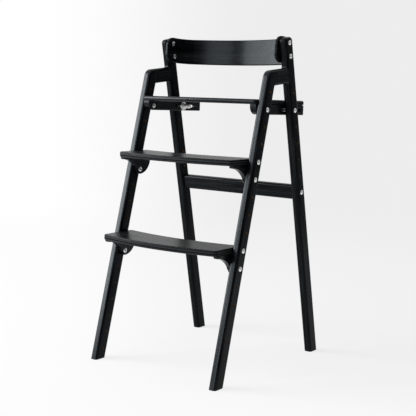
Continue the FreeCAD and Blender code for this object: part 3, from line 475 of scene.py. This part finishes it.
class CHAIR_OT_side_frames(bpy.types.Operator):
    """Stain the legs along their lean, with raw wood in the drilled holes, and the arms along their slope"""
    bl_idname = "chair.side_frames"
    bl_label = "Side frames"

    def execute(self, context):
        wood = context.scene.chair_wood
        front = stained_wood("front_leg_wood", wood, (0, FRONT_FOOT, 0), (FRONT_LEAN, 0, 0),
                             holes=(FRONT_ROW, 17), broad_face=0.4)
        rear = stained_wood("rear_leg_wood", wood, (0, REAR_FOOT, 0), (-REAR_LEAN, 0, 0),
                            holes=(REAR_ROW, 7), sheen=0.36, broad_face=0.9)
        arm = stained_wood("arm_wood", wood, (0, 0, 0), (math.pi / 2 - ARM_SLOPE, 0, 0), broad_face=0.5)
        for side in ("left", "right"):
            finish_node(side + "_front_leg", front)
            finish_node(side + "_rear_leg", rear)
            finish_node(side + "_arm", arm)
        return {"FINISHED"}


def board_layers(graph, point, normal):
    """A flat board's depth lies along X when its grain runs along Z; its lower layers are duller."""
    depth = graph.split(point)[0]
    return depth, graph.math("ABSOLUTE", normal[0]), graph.smooth(depth, -0.001, 0.003)


class CHAIR_OT_backrest(bpy.types.Operator):
    """Veneer the bent backrest, with its layers showing on the edges"""
    bl_idname = "chair.backrest"
    bl_label = "Backrest"

    def execute(self, context):
        wood = context.scene.chair_wood

        def bent_layers(graph, point, normal):
            level = graph.math("SQRT", normal[0] * normal[0] + normal[1] * normal[1])
            below = 1.0 - graph.smooth(graph.split(point)[2], -0.05, 0.0)
            return backrest_depth(graph, point), level, below

        veneer = stained_wood("backrest_veneer", wood, BACKREST_PLACE, (BACKREST_TILT, 0, 0),
                              stretch=(0.035, 0.035, 1), layers=bent_layers, sheen=0.45, polish=0.05,
                              figure=0.4)
        finish_node("backrest", veneer)
        return {"FINISHED"}


class CHAIR_OT_seat(bpy.types.Operator):
    """Stain the seat board and its slotted rails"""
    bl_idname = "chair.seat"
    bl_label = "Seat"

    def execute(self, context):
        wood = context.scene.chair_wood
        low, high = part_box("seat_board")
        board = stained_wood("seat_board_wood", wood, (low + high) / 2, (SEAT_TILT, -math.pi / 2, 0),
                             layers=board_layers)
        finish_node("seat_board", board)
        rail = stained_wood("seat_rail_wood", wood, (0, 0, 0), (math.pi / 2 + SEAT_TILT, 0, 0))
        finish_node("left_seat_rail", rail)
        finish_node("right_seat_rail", rail)
        return {"FINISHED"}


class CHAIR_OT_steps(bpy.types.Operator):
    """Stain the two step boards and the brackets under them"""
    bl_idname = "chair.steps"
    bl_label = "Steps"

    def execute(self, context):
        wood = context.scene.chair_wood
        bracket = stained_wood("step_bracket_wood", wood, (0, 0, 0), (math.pi / 2, 0, 0))
        for step in ("upper_step", "lower_step"):
            low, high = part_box(step + "_board")
            board = stained_wood(step + "_wood", wood, (low + high) / 2, (0, -math.pi / 2, 0),
                                 layers=board_layers, sheen=0.68, polish=-0.10)
            finish_node(step + "_board", board)
            finish_node(step + "_left_bracket", bracket)
            finish_node(step + "_right_bracket", bracket)
        return {"FINISHED"}


class CHAIR_OT_crossbar(bpy.types.Operator):
    """Stain the rear crossbar"""
    bl_idname = "chair.crossbar"
    bl_label = "Rear crossbar"

    def execute(self, context):
        low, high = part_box("rear_crossbar")
        bar = stained_wood("crossbar_wood", context.scene.chair_wood, (low + high) / 2,
                           (-REAR_LEAN, -math.pi / 2, 0), sheen=0.45)
        finish_node("rear_crossbar", bar)
        return {"FINISHED"}


class CHAIR_OT_hidden_fittings(bpy.types.Operator):
    """Finish the dowels, the threaded inserts and the barrel nuts inside the wood"""
    bl_idname = "chair.hidden_fittings"
    bl_label = "Hidden fittings"

    def execute(self, context):
        beech = raw_beech(context.scene.chair_wood)
        steel = turned_metal("insert_zinc", context.scene.chair_fastenings.steel, 0.28, 0.42, INSERT_MARKS)
        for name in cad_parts:
            if name.endswith("dowels"):
                finish_node(name, beech)
            elif name.endswith(("inserts", "barrel_nuts")):
                finish_node(name, steel)
        return {"FINISHED"}


# Turned fastenings

def solid_places(node):
    """Lowest and highest corner of each solid of a node whose solids lie along X."""
    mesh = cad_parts[node].data
    points = np.empty(len(mesh.vertices) * 3)
    mesh.vertices.foreach_get("co", points)
    points = points.reshape(-1, 3)
    places = []
    for side in (-1, 1):
        rest = points[points[:, 0] * side > 0]
        while len(rest):
            middle = rest[0, 1:]
            for _ in range(4):
                near = np.hypot(*(rest[:, 1:] - middle).T) < SOLID_REACH
                middle = (rest[near, 1:].min(0) + rest[near, 1:].max(0)) / 2
            places.append((Vector(rest[near].min(0)), Vector(rest[near].max(0))))
            rest = rest[~near]
    return places


class TurnedTree:
    """Geometry tree that turns a profile about X and sets copies of it on points.

    Each row of the profile is a height along X, a radius and a shape: round, six-sided or fluted."""

    def __init__(self, name, sizes):
        self.tree = bpy.data.node_groups.new(name, "GeometryNodeTree")
        self.tree.is_modifier = True
        self.graph = Graph(self.tree)
        face = self.tree.interface
        face.new_socket("Geometry", in_out="OUTPUT", socket_type="NodeSocketGeometry")
        face.new_socket("Geometry", in_out="INPUT", socket_type="NodeSocketGeometry")
        self.names = {}
        for size, value in sizes.items():
            kind = "NodeSocketInt" if isinstance(value, int) else "NodeSocketFloat"
            socket = face.new_socket(size, in_out="INPUT", socket_type=kind)
            socket.default_value = value
            self.names[size] = socket.identifier
        self.given = self.graph.node("NodeGroupInput")
        self.rows = []

    def size(self, name):
        return self.graph.out(self.given, name)

    def row(self, height, radius, shape="round"):
        self.rows.append((height, radius, shape))

    def table(self, index, values):
        switch = self.graph.node("GeometryNodeIndexSwitch", data_type="FLOAT")
        while len(switch.index_switch_items) < len(values):
            switch.index_switch_items.new()
        self.graph.feed(switch.inputs[0], index)
        for socket, value in zip(list(switch.inputs)[1:], values):
            self.graph.feed(socket, value)
        return self.graph.out(switch)

    def finish(self, columns, material, flutes=0, flute_depth=0.0, spin=True):
        graph = self.graph
        count = len(self.rows)
        sheet = graph.node("GeometryNodeMeshGrid", {"Size X": 1.0, "Size Y": 1.0, "Vertices X": columns + 1,
                                                    "Vertices Y": count})
        u, v, _ = graph.split(graph.out(graph.node("GeometryNodeInputPosition")))
        index = graph.math("ROUND", (v + 0.5) * (count - 1))
        angle = (u + 0.5) * (2 * math.pi)
        height = self.table(index, [row[0] for row in self.rows])
        radius = self.table(index, [row[1] for row in self.rows])
        hexed = self.table(index, [1.0 if row[2] == "hex" else 0.0 for row in self.rows])
        turn = graph.math("WRAP", angle, math.pi / 6, -math.pi / 6)
        corner = graph.math("DIVIDE", 1.0, graph.math("COSINE", turn))
        radius = radius * (1.0 + hexed * (corner - 1.0))
        if flutes:
            fluted = self.table(index, [1.0 if row[2] == "fluted" else 0.0 for row in self.rows])
            wave = graph.math("MAXIMUM", graph.math("COSINE", angle * flutes), 0.0)
            radius = radius - fluted * wave * flute_depth
        place = graph.join(height, radius * graph.math("COSINE", angle), radius * graph.math("SINE", angle))
        marked = graph.node("GeometryNodeStoreNamedAttribute",
                            {"Geometry": graph.out(sheet), "Name": "lathe",
                             3: graph.join(radius, height, 0.0)},
                            data_type="FLOAT_VECTOR", domain="POINT")
        turned = graph.node("GeometryNodeSetPosition", {"Geometry": graph.out(marked), "Position": place})
        closed = graph.node("GeometryNodeMergeByDistance",
                            {"Geometry": graph.out(turned), "Distance": 2e-6})
        smooth = graph.node("GeometryNodeSetShadeSmooth",
                            {"Geometry": graph.out(closed), "Shade Smooth": True})
        bend = graph.out(graph.node("GeometryNodeInputMeshEdgeAngle"), "Unsigned Angle")
        sharp = graph.node("FunctionNodeCompare", {0: bend, 1: 0.6}, data_type="FLOAT",
                           operation="GREATER_THAN")
        crisp = graph.node("GeometryNodeSetShadeSmooth",
                           {"Geometry": graph.out(smooth), "Selection": graph.out(sharp),
                            "Shade Smooth": False}, domain="EDGE")
        side = graph.split(graph.out(graph.node("GeometryNodeInputPosition")))[0]
        left = graph.math("LESS_THAN", side, 0.0)
        random = graph.node("FunctionNodeRandomValue", {2: 0.0, 3: math.pi / 3 if spin else 0.0,
                                                        "Seed": self.size("Seed")}, data_type="FLOAT")
        tilt = graph.join(graph.out(random, 1), 0.0, left * math.pi)
        copies = graph.node("GeometryNodeInstanceOnPoints",
                            {"Points": graph.out(self.given, "Geometry"), "Instance": graph.out(crisp),
                             "Rotation": tilt})
        real = graph.node("GeometryNodeRealizeInstances", {"Geometry": graph.out(copies)})
        coated = graph.node("GeometryNodeSetMaterial", {"Geometry": graph.out(real), "Material": material})
        result = graph.node("NodeGroupOutput")
        self.tree.links.new(coated.outputs[0], result.inputs[0])
        return self


def turned_pieces(name, tree, points, sizes, body, nodes):
    """Run a turned tree on the places of a group of pieces, and keep the result as a plain mesh."""
    seeds = bpy.data.meshes.new(name + "_places")
    seeds.from_pydata(points, [], [])
    carrier = bpy.data.objects.new(name + "_places", seeds)
    bpy.context.scene.collection.objects.link(carrier)
    modifier = carrier.modifiers.new("turned", "NODES")
    modifier.node_group = tree.tree
    for size, value in sizes.items():
        modifier[tree.names[size]] = value
    bpy.context.view_layer.update()
    ready = carrier.evaluated_get(bpy.context.evaluated_depsgraph_get())
    mesh = bpy.data.meshes.new_from_object(ready)
    carrier.modifiers.remove(modifier)
    bpy.data.objects.remove(carrier)
    bpy.data.meshes.remove(seeds)
    if len(mesh.polygons) < 50:
        raise RuntimeError(f"{name} came out empty")
    mesh.name = name
    piece = bpy.data.objects.new(name, mesh)
    bpy.context.scene.collection.objects.link(piece)
    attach(piece, body)
    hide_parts(*nodes)
    return piece


def crown_rows(tree, head, rim, rise, way, shares):
    """Rows of a low crown: the radius falls from the head's edge while the height climbs from its rim."""
    for share in shares:
        tree.row((rim + rise * (1 - share * share)) * way, head * (share / 2))


def bolt_tree(sizes, material):
    """Domed bolt from its threaded tip to the floor of its socket; its head sits on X = 0."""
    tree = TurnedTree("bolt", sizes)
    shank, length, pitch = tree.size("Shank"), tree.size("Length"), tree.size("Pitch")
    head, height, rim = tree.size("Head"), tree.size("Head height"), tree.size("Rim")
    socket, depth = tree.size("Socket"), tree.size("Socket depth")
    crest, root = shank / 2, shank / 2 - pitch * 0.55
    tip = -length
    tree.row(tip, 0.0)
    tree.row(tip, root * 0.86)
    for turn in range(16):
        start = tip + pitch * (turn + 0.45)
        tree.row(start, root)
        tree.row(start + pitch * 0.42, crest)
        tree.row(start + pitch * 0.56, crest)
    tree.row(tip + pitch * 16.7, root)
    tree.row(tip + pitch * 17.6, crest)
    tree.row(-0.0005, crest)
    tree.row(0.0, crest + 0.0004)
    tree.row(0.0, head / 2 - 0.00035)
    tree.row(0.00008, head / 2 - 0.00012)
    tree.row(0.0003, head / 2)
    tree.row(rim - 0.0001, head / 2)
    crown_rows(tree, head, rim, height - rim, 1.0, (0.985, 0.94, 0.87, 0.78, 0.68, 0.58, 0.48))
    top = height - (height - rim) * 0.17
    tree.row(top, socket * 0.64)
    tree.row(top - 0.00035, socket / 2, "hex")
    tree.row(top - 0.00045, socket / 2, "hex")
    tree.row(height - depth, socket / 2, "hex")
    tree.row(height - depth, socket * 0.42)
    tree.row(height - depth - 0.0004, 0.0)
    return tree.finish(48, material)


def sleeve_nut_tree(sizes, material):
    """Sleeve nut, its bore and socket open; its head sits on X = 0 and its sleeve runs outwards."""
    tree = TurnedTree("sleeve_nut", sizes)
    head, height, rim = tree.size("Head"), tree.size("Head height"), tree.size("Rim")
    socket, bore, sleeve = tree.size("Socket"), tree.size("Bore"), tree.size("Sleeve")
    length = tree.size("Length")
    tree.row(length, bore / 2)
    tree.row(0.0, bore / 2)
    tree.row(0.0, socket / 2, "hex")
    top = -(height - (height - rim) * 0.17)
    tree.row(top + 0.00045, socket / 2, "hex")
    tree.row(top + 0.00035, socket / 2, "hex")
    tree.row(top, socket * 0.64)
    crown_rows(tree, head, rim, height - rim, -1.0, (0.48, 0.58, 0.68, 0.78, 0.87, 0.94, 0.985))
    tree.row(-rim + 0.0001, head / 2)
    tree.row(-0.0003, head / 2)
    tree.row(-0.00008, head / 2 - 0.00012)
    tree.row(0.0, head / 2 - 0.00035)
    tree.row(0.0, sleeve / 2 + 0.0003)
    tree.row(0.0003, sleeve / 2)
    tree.row(length - 0.0004, sleeve / 2)
    tree.row(length, sleeve / 2 - 0.0004)
    tree.row(length, bore / 2)
    return tree.finish(48, material)


def thumb_nut_tree(sizes, material):
    """Thumb nut with a flange and a fluted grip; the flange sits on X = 0."""
    tree = TurnedTree("thumb_nut", sizes)
    bore, bore_depth, flange = tree.size("Bore"), tree.size("Bore depth"), tree.size("Flange")
    rim, grip, length = tree.size("Rim"), tree.size("Grip"), tree.size("Length")
    tree.row(-bore_depth - 0.0012, 0.0)
    tree.row(-bore_depth, bore / 2)
    tree.row(-0.0004, bore / 2)
    tree.row(0.0, bore / 2 + 0.0004)
    tree.row(0.0, bore / 2 + 0.0008)
    tree.row(0.0, flange / 2 - 0.0008)
    tree.row(0.0, flange / 2 - 0.0004)
    tree.row(-0.0001, flange / 2 - 0.00012)
    tree.row(-0.0004, flange / 2)
    tree.row(-rim + 0.0006, flange / 2)
    tree.row(-rim + 0.0002, flange / 2 - 0.0002)
    tree.row(-rim, flange / 2 - 0.0006)
    tree.row(-rim, flange / 2 - 0.0009)
    tree.row(-rim, grip / 2 + 0.0009)
    tree.row(-rim, grip / 2 + 0.0006)
    tree.row(-rim - 0.0002, grip / 2 + 0.0001)
    tree.row(-rim - 0.0006, grip / 2)
    tree.row(-rim * 2 - 0.0001, grip / 2)
    tree.row(-rim * 2 - 0.0007, grip / 2, "fluted")
    for share in (0.25, 0.5, 0.75):
        tree.row(-(rim * 2 + (length - rim * 2) * share), grip / 2, "fluted")
    tree.row(-length + 0.0022, grip / 2, "fluted")
    tree.row(-length + 0.0012, grip / 2 - 0.00035)
    tree.row(-length + 0.0006, grip / 2 - 0.0008)
    tree.row(-length + 0.00015, grip / 2 - 0.0014)
    tree.row(-length, grip / 2 - 0.002)
    tree.row(-length, grip / 5)
    tree.row(-length + 0.0002, grip / 6)
    tree.row(-length + 0.0003, 0.0)
    return tree.finish(112, material, tree.size("Flutes"), tree.size("Flute depth"), spin=False)


def washer_tree(sizes, material):
    """Flat washer with softened edges, its outer face on X = 0."""
    tree = TurnedTree("large_washer", sizes)
    outside, hole, thick = tree.size("Outside"), tree.size("Hole"), tree.size("Thickness")
    soft, flat = 0.00025, 0.0005
    tree.row(-soft, hole / 2)
    tree.row(-0.00007, hole / 2 + 0.00007)
    tree.row(0.0, hole / 2 + soft)
    tree.row(0.0, hole / 2 + flat)
    tree.row(0.0, outside / 2 - flat)
    tree.row(0.0, outside / 2 - soft)
    tree.row(-0.00007, outside / 2 - 0.00007)
    tree.row(-soft, outside / 2)
    tree.row(-thick + soft, outside / 2)
    tree.row(-thick + 0.00007, outside / 2 - 0.00007)
    tree.row(-thick, outside / 2 - soft)
    tree.row(-thick, outside / 2 - flat)
    tree.row(-thick, hole / 2 + flat)
    tree.row(-thick, hole / 2 + soft)
    tree.row(-thick + 0.00007, hole / 2 + 0.00007)
    tree.row(-thick + soft, hole / 2)
    tree.row(-soft, hole / 2)
    return tree.finish(96, material, spin=False)


class CHAIR_OT_bolts(bpy.types.Operator):
    """Turn the domed bolts with their threads and six-sided sockets"""
    bl_idname = "chair.bolts"
    bl_label = "Bolts"

    def execute(self, context):
        parts = context.scene.chair_fastenings
        # The bolts' threads get a painted shade, at 0.22 of the zinc's tone.
        zinc = turned_metal("bolt_zinc", parts.steel, 0.24, 0.36, LATHE_MARKS, shank=0.22, metal=0.6)
        sizes = {"Head": parts.head, "Head height": parts.head_height, "Rim": 1.1 * MM, "Shank": parts.shank,
                 "Length": 35 * MM, "Pitch": parts.pitch, "Socket": parts.socket,
                 "Socket depth": parts.socket_depth, "Seed": parts.seed}
        tree = bolt_tree(sizes, zinc)
        for node in ("backrest_bolts", "seat_front_bolts", "seat_rear_bolts", "upper_step_bolts",
                     "lower_step_bolts", "crossbar_bolts"):
            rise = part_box(node)[1].x - FRAME_OUTSIDE
            points, length = [], 0.0
            for low, high in solid_places(node):
                middle = (low + high) / 2
                seat = high.x - rise if middle.x > 0 else low.x + rise
                points.append((seat, middle.y, middle.z))
                length = (high.x - low.x) - rise
            turned_pieces(node + "_turned", tree, points, {**sizes, "Length": length}, "chair",
                          [node])
        return {"FINISHED"}


class CHAIR_OT_sleeve_nuts(bpy.types.Operator):
    """Turn the sleeve nuts that hold the bolts inside the backrest, the rails and the brackets"""
    bl_idname = "chair.sleeve_nuts"
    bl_label = "Sleeve nuts"

    def execute(self, context):
        parts = context.scene.chair_fastenings
        zinc = turned_metal("nut_zinc", [part * 0.76 for part in parts.steel], 0.22, 0.36, LATHE_MARKS)
        sizes = {"Head": parts.nut_head, "Head height": 2 * MM, "Rim": 0.8 * MM, "Socket": parts.socket,
                 "Bore": parts.shank + THREAD_ROOM, "Sleeve": 8.5 * MM, "Length": 18 * MM,
                 "Seed": parts.seed + 1}
        tree = sleeve_nut_tree(sizes, zinc)
        # Each node with the seat of its heads from the chair's middle and the length of its sleeves, in mm
        for node, seat, length in (("backrest_nuts", 177.5, 7), ("seat_front_nuts", 166.5, 18),
                                   ("upper_step_nuts", 172.5, 12), ("lower_step_nuts", 172.5, 12)):
            points = []
            for low, high in solid_places(node):
                middle = (low + high) / 2
                side = 1 if middle.x > 0 else -1
                points.append((side * seat * MM, middle.y, middle.z))
            turned_pieces(node + "_turned", tree, points, {**sizes, "Length": length * MM}, "chair",
                          [node])
        return {"FINISHED"}


class CHAIR_OT_thumb_nuts(bpy.types.Operator):
    """Turn the large washers and the fluted thumb nuts of the seat's rear bolts"""
    bl_idname = "chair.thumb_nuts"
    bl_label = "Thumb nuts"

    def execute(self, context):
        parts = context.scene.chair_fastenings
        nickel = turned_metal("bright_nickel", parts.nickel, 0.42, 0.52, LATHE_MARKS)
        washer_sizes = {"Outside": 25 * MM, "Hole": parts.shank + WASHER_ROOM, "Thickness": 1.6 * MM,
                        "Seed": 1}
        washer = washer_tree(washer_sizes, nickel)
        nut_sizes = {"Bore": parts.shank + THREAD_ROOM, "Bore depth": 17 * MM, "Flange": 17 * MM,
                     "Rim": 2.5 * MM, "Grip": 11.5 * MM, "Length": 23 * MM, "Flutes": parts.flutes,
                     "Flute depth": parts.flute_depth, "Seed": 1}
        satin = turned_metal("satin_nickel", parts.nickel, 0.45, 0.55, LATHE_MARKS, metal=0.45)
        nut = thumb_nut_tree(nut_sizes, satin)
        for side, way in (("left", -1), ("right", 1)):
            for part, tree, sizes in (("washer", washer, washer_sizes), ("thumb_nut", nut, nut_sizes)):
                node = f"{side}_{part}"
                low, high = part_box(node)
                middle = (low + high) / 2
                seat = low.x if way < 0 else high.x
                turned_pieces(node + "_turned", tree, [(seat, middle.y, middle.z)], sizes, node,
                              [node])
        return {"FINISHED"}


# Studio

def floor_material(stage):
    """Pale glowing floor that keeps part of the chair's shadow and fades into the backdrop far off; its glow
    carries painted light and shade.
    """
    material, graph, shader = new_material("studio_floor")
    source = graph.node("ShaderNodeTexCoord")
    point = graph.out(source, "Object")
    mottle = graph.noise(point, 3.0, 3.0)
    paint = graph.blend(mottle, colour(stage.floor, 0.985), colour(stage.floor))
    graph.feed(shader.inputs["Base Color"], paint)
    shader.inputs["Roughness"].default_value = 0.8
    shader.inputs["Specular IOR Level"].default_value = 0.1
    x, y, _ = graph.split(point)
    right, away = across_and_away(stage, x - stage.camera_place[0], y - stage.camera_place[1])
    far = graph.smooth(graph.math("SQRT", x * x + y * y), 0.8, 3.4)
    across = right / graph.math("MAXIMUM", away, 0.5)
    # Painted shade and light in the floor's glow: greyer to the right of the camera's middle line near the
    # chair, and white nearer the camera.
    near = graph.blend(graph.smooth(across, -0.16, 0.02), grey(1.0), grey(0.95))
    near = graph.blend(1.0 - graph.smooth(away, 2.05, 2.6), near, grey(1.0))
    painted_floor_light = graph.blend(far, near, painted_backdrop_falloff(graph, stage, across))
    glow = graph.node("ShaderNodeEmission", {"Color": painted_floor_light, "Strength": 1.0})
    share = 1.0 - (1.0 - far) * stage.shadow
    mixed = graph.node("ShaderNodeMixShader", {0: share, 1: graph.out(shader), 2: graph.out(glow)})
    output = material.node_tree.nodes["Material Output"]
    material.node_tree.links.new(mixed.outputs[0], output.inputs["Surface"])
    return material


def across_and_away(stage, x, y):
    """Parts of a level direction to the right of the camera's middle line and along it."""
    sine, cosine = math.sin(stage.yaw), math.cos(stage.yaw)
    return x * cosine + y * sine, y * cosine - x * sine


def painted_backdrop_falloff(graph, stage, across):
    """Painted falloff of light on the backdrop: white on the left of the picture, light grey on its right.
    """
    return graph.blend(graph.smooth(across, -0.19, 0.06), grey(1.0), colour(stage.backdrop_shade))


def studio_world(stage):
    """Backdrop for the camera and for reflections, white with a painted falloff of light to light grey at
    the right, and a plain level of light on the chair.
    """
    world = bpy.data.worlds.new("studio")
    world.use_nodes = True
    graph = Graph(world.node_tree)
    world.node_tree.nodes.clear()
    source = graph.node("ShaderNodeTexCoord")
    x, y, _ = graph.split(graph.out(source, "Generated"))
    # The backdrop seen by the camera and by reflections carries the painted falloff of light.
    tone = painted_backdrop_falloff(graph, stage, across_and_away(stage, x, y)[0])
    path = graph.node("ShaderNodeLightPath")
    seen = graph.math("MAXIMUM", graph.out(path, "Is Camera Ray"), graph.out(path, "Is Glossy Ray"))
    seen = graph.math("MAXIMUM", seen, graph.out(path, "Is Transmission Ray"))
    shown = graph.node("ShaderNodeBackground", {"Color": tone, "Strength": 1.0})
    light = graph.node("ShaderNodeBackground", {"Color": grey(1.0), "Strength": stage.ambient})
    mixed = graph.node("ShaderNodeMixShader", {0: seen, 1: graph.out(light), 2: graph.out(shown)})
    output = graph.node("ShaderNodeOutputWorld")
    world.node_tree.links.new(mixed.outputs[0], output.inputs["Surface"])
    return world


def dark_cloth():
    """Cloth of the screen on the unlit side of the studio, black at the front and grey behind, which only
    reflections see."""
    material, graph, shader = new_material("dark_cloth")
    source = graph.node("ShaderNodeTexCoord")
    weave = graph.noise(graph.out(source, "Object"), 400.0, 2.0)
    paint = graph.blend(weave, (0.008, 0.008, 0.009, 1.0), (0.016, 0.016, 0.017, 1.0))
    behind = graph.smooth(graph.split(graph.out(source, "Object"))[1], 0.0, 1.3)
    graph.feed(shader.inputs["Base Color"], graph.blend(behind, paint, (0.16, 0.16, 0.165, 1.0)))
    shader.inputs["Roughness"].default_value = 0.95
    shader.inputs["Specular IOR Level"].default_value = 0.05
    return material


def around(azimuth, distance, height):
    """Point around the chair, its azimuth in degrees from the front to the right."""
    angle = math.radians(azimuth)
    return (math.sin(angle) * distance, -math.cos(angle) * distance, height)


def soft_lamp(name, power, size, place):
    """Tall rectangular lamp, turned to the chair and hidden from the camera."""
    data = bpy.data.lights.new(name, "AREA")
    data.shape = "RECTANGLE"
    data.size, data.size_y = size
    data.energy = power
    lamp = bpy.data.objects.new(name, data)
    lamp.location = around(*place)
    lamp.rotation_euler = (lamp.location - Vector(LAMP_AIM)).to_track_quat("Z", "Y").to_euler()
    lamp.visible_camera = False
    bpy.context.scene.collection.objects.link(lamp)


def thin_sheet(name, points, faces, material):
    """Sheet without thickness, for the floor and the screen."""
    mesh = bpy.data.meshes.new(name)
    mesh.from_pydata(points, [], faces)
    mesh.materials.append(material)
    sheet = bpy.data.objects.new(name, mesh)
    bpy.context.scene.collection.objects.link(sheet)
    return sheet


class CHAIR_OT_stage(bpy.types.Operator):
    """Set up the camera, the pale floor and the soft studio light"""
    bl_idname = "chair.stage"
    bl_label = "Stage"

    def execute(self, context):
        stage = context.scene.chair_stage
        context.scene.view_settings.view_transform = "Standard"
        data = bpy.data.cameras.new("camera")
        data.sensor_width = 36
        data.lens = stage.lens
        data.shift_y = stage.shift
        camera = bpy.data.objects.new("camera", data)
        turn = (Matrix.Rotation(stage.yaw, 4, "Z") @ Matrix.Rotation(math.pi / 2 - stage.pitch, 4, "X")
                @ Matrix.Rotation(stage.roll, 4, "Z"))
        camera.matrix_world = Matrix.Translation(stage.camera_place) @ turn
        context.scene.collection.objects.link(camera)
        context.scene.camera = camera
        context.scene.world = studio_world(stage)
        turns = [k * 2 * math.pi / FLOOR_SIDES for k in range(FLOOR_SIDES)]
        ring = [(math.cos(turn) * FLOOR_RADIUS, math.sin(turn) * FLOOR_RADIUS, 0) for turn in turns]
        floor = thin_sheet("studio_floor", ring, [tuple(range(FLOOR_SIDES))], floor_material(stage))
        soft_lamp("soft_box", stage.soft_box, SOFT_BOX_SIZE, SOFT_BOX_PLACE)
        soft_lamp("panel", stage.panel, PANEL_SIZE, PANEL_PLACE)
        posts = [around(SCREEN_START + SCREEN_STEP * k, SCREEN_RADIUS, height)
                 for k in range(SCREEN_STRIPS + 1) for height in SCREEN_HEIGHTS]
        strips = [(2 * k, 2 * k + 1, 2 * k + 3, 2 * k + 2) for k in range(SCREEN_STRIPS)]
        cloth = thin_sheet("dark_screen", posts, strips, dark_cloth())
        cloth.visible_camera = cloth.visible_diffuse = False
        cloth.visible_transmission = cloth.visible_shadow = False
        return {"FINISHED"}


OPERATORS = (CHAIR_OT_side_frames, CHAIR_OT_backrest, CHAIR_OT_seat, CHAIR_OT_steps, CHAIR_OT_crossbar,
             CHAIR_OT_hidden_fittings, CHAIR_OT_bolts, CHAIR_OT_sleeve_nuts, CHAIR_OT_thumb_nuts,
             CHAIR_OT_stage)
SETTINGS = {"chair_wood": WoodSettings, "chair_fastenings": FasteningSettings, "chair_stage": StageSettings}


class CHAIR_PT_panel(bpy.types.Panel):
    """Sizes, colours and steps of the chair"""
    bl_label = "Toddler chair"
    bl_idname = "CHAIR_PT_panel"
    bl_space_type = "VIEW_3D"
    bl_region_type = "UI"
    bl_category = "Chair"

    def draw(self, context):
        for name, group in SETTINGS.items():
            box = self.layout.box()
            box.label(text=group.__doc__)
            for prop in group.__annotations__:
                box.prop(getattr(context.scene, name), prop)
        for operator in OPERATORS:
            self.layout.operator(operator.bl_idname)


def register():
    for group in SETTINGS.values():
        bpy.utils.register_class(group)
    for operator in OPERATORS:
        bpy.utils.register_class(operator)
    bpy.utils.register_class(CHAIR_PT_panel)
    for name, group in SETTINGS.items():
        setattr(bpy.types.Scene, name, PointerProperty(type=group))


def unregister():
    for name in SETTINGS:
        delattr(bpy.types.Scene, name)
    bpy.utils.unregister_class(CHAIR_PT_panel)
    for operator in reversed(OPERATORS):
        bpy.utils.unregister_class(operator)
    for group in reversed(list(SETTINGS.values())):
        bpy.utils.unregister_class(group)


def main():
    register()
    bpy.ops.chair.side_frames()
    bpy.ops.chair.backrest()
    bpy.ops.chair.seat()
    bpy.ops.chair.steps()
    bpy.ops.chair.crossbar()
    bpy.ops.chair.hidden_fittings()
    bpy.ops.chair.bolts()
    bpy.ops.chair.sleeve_nuts()
    bpy.ops.chair.thumb_nuts()
    bpy.ops.chair.stage()


if __name__ == "__main__":
    main()
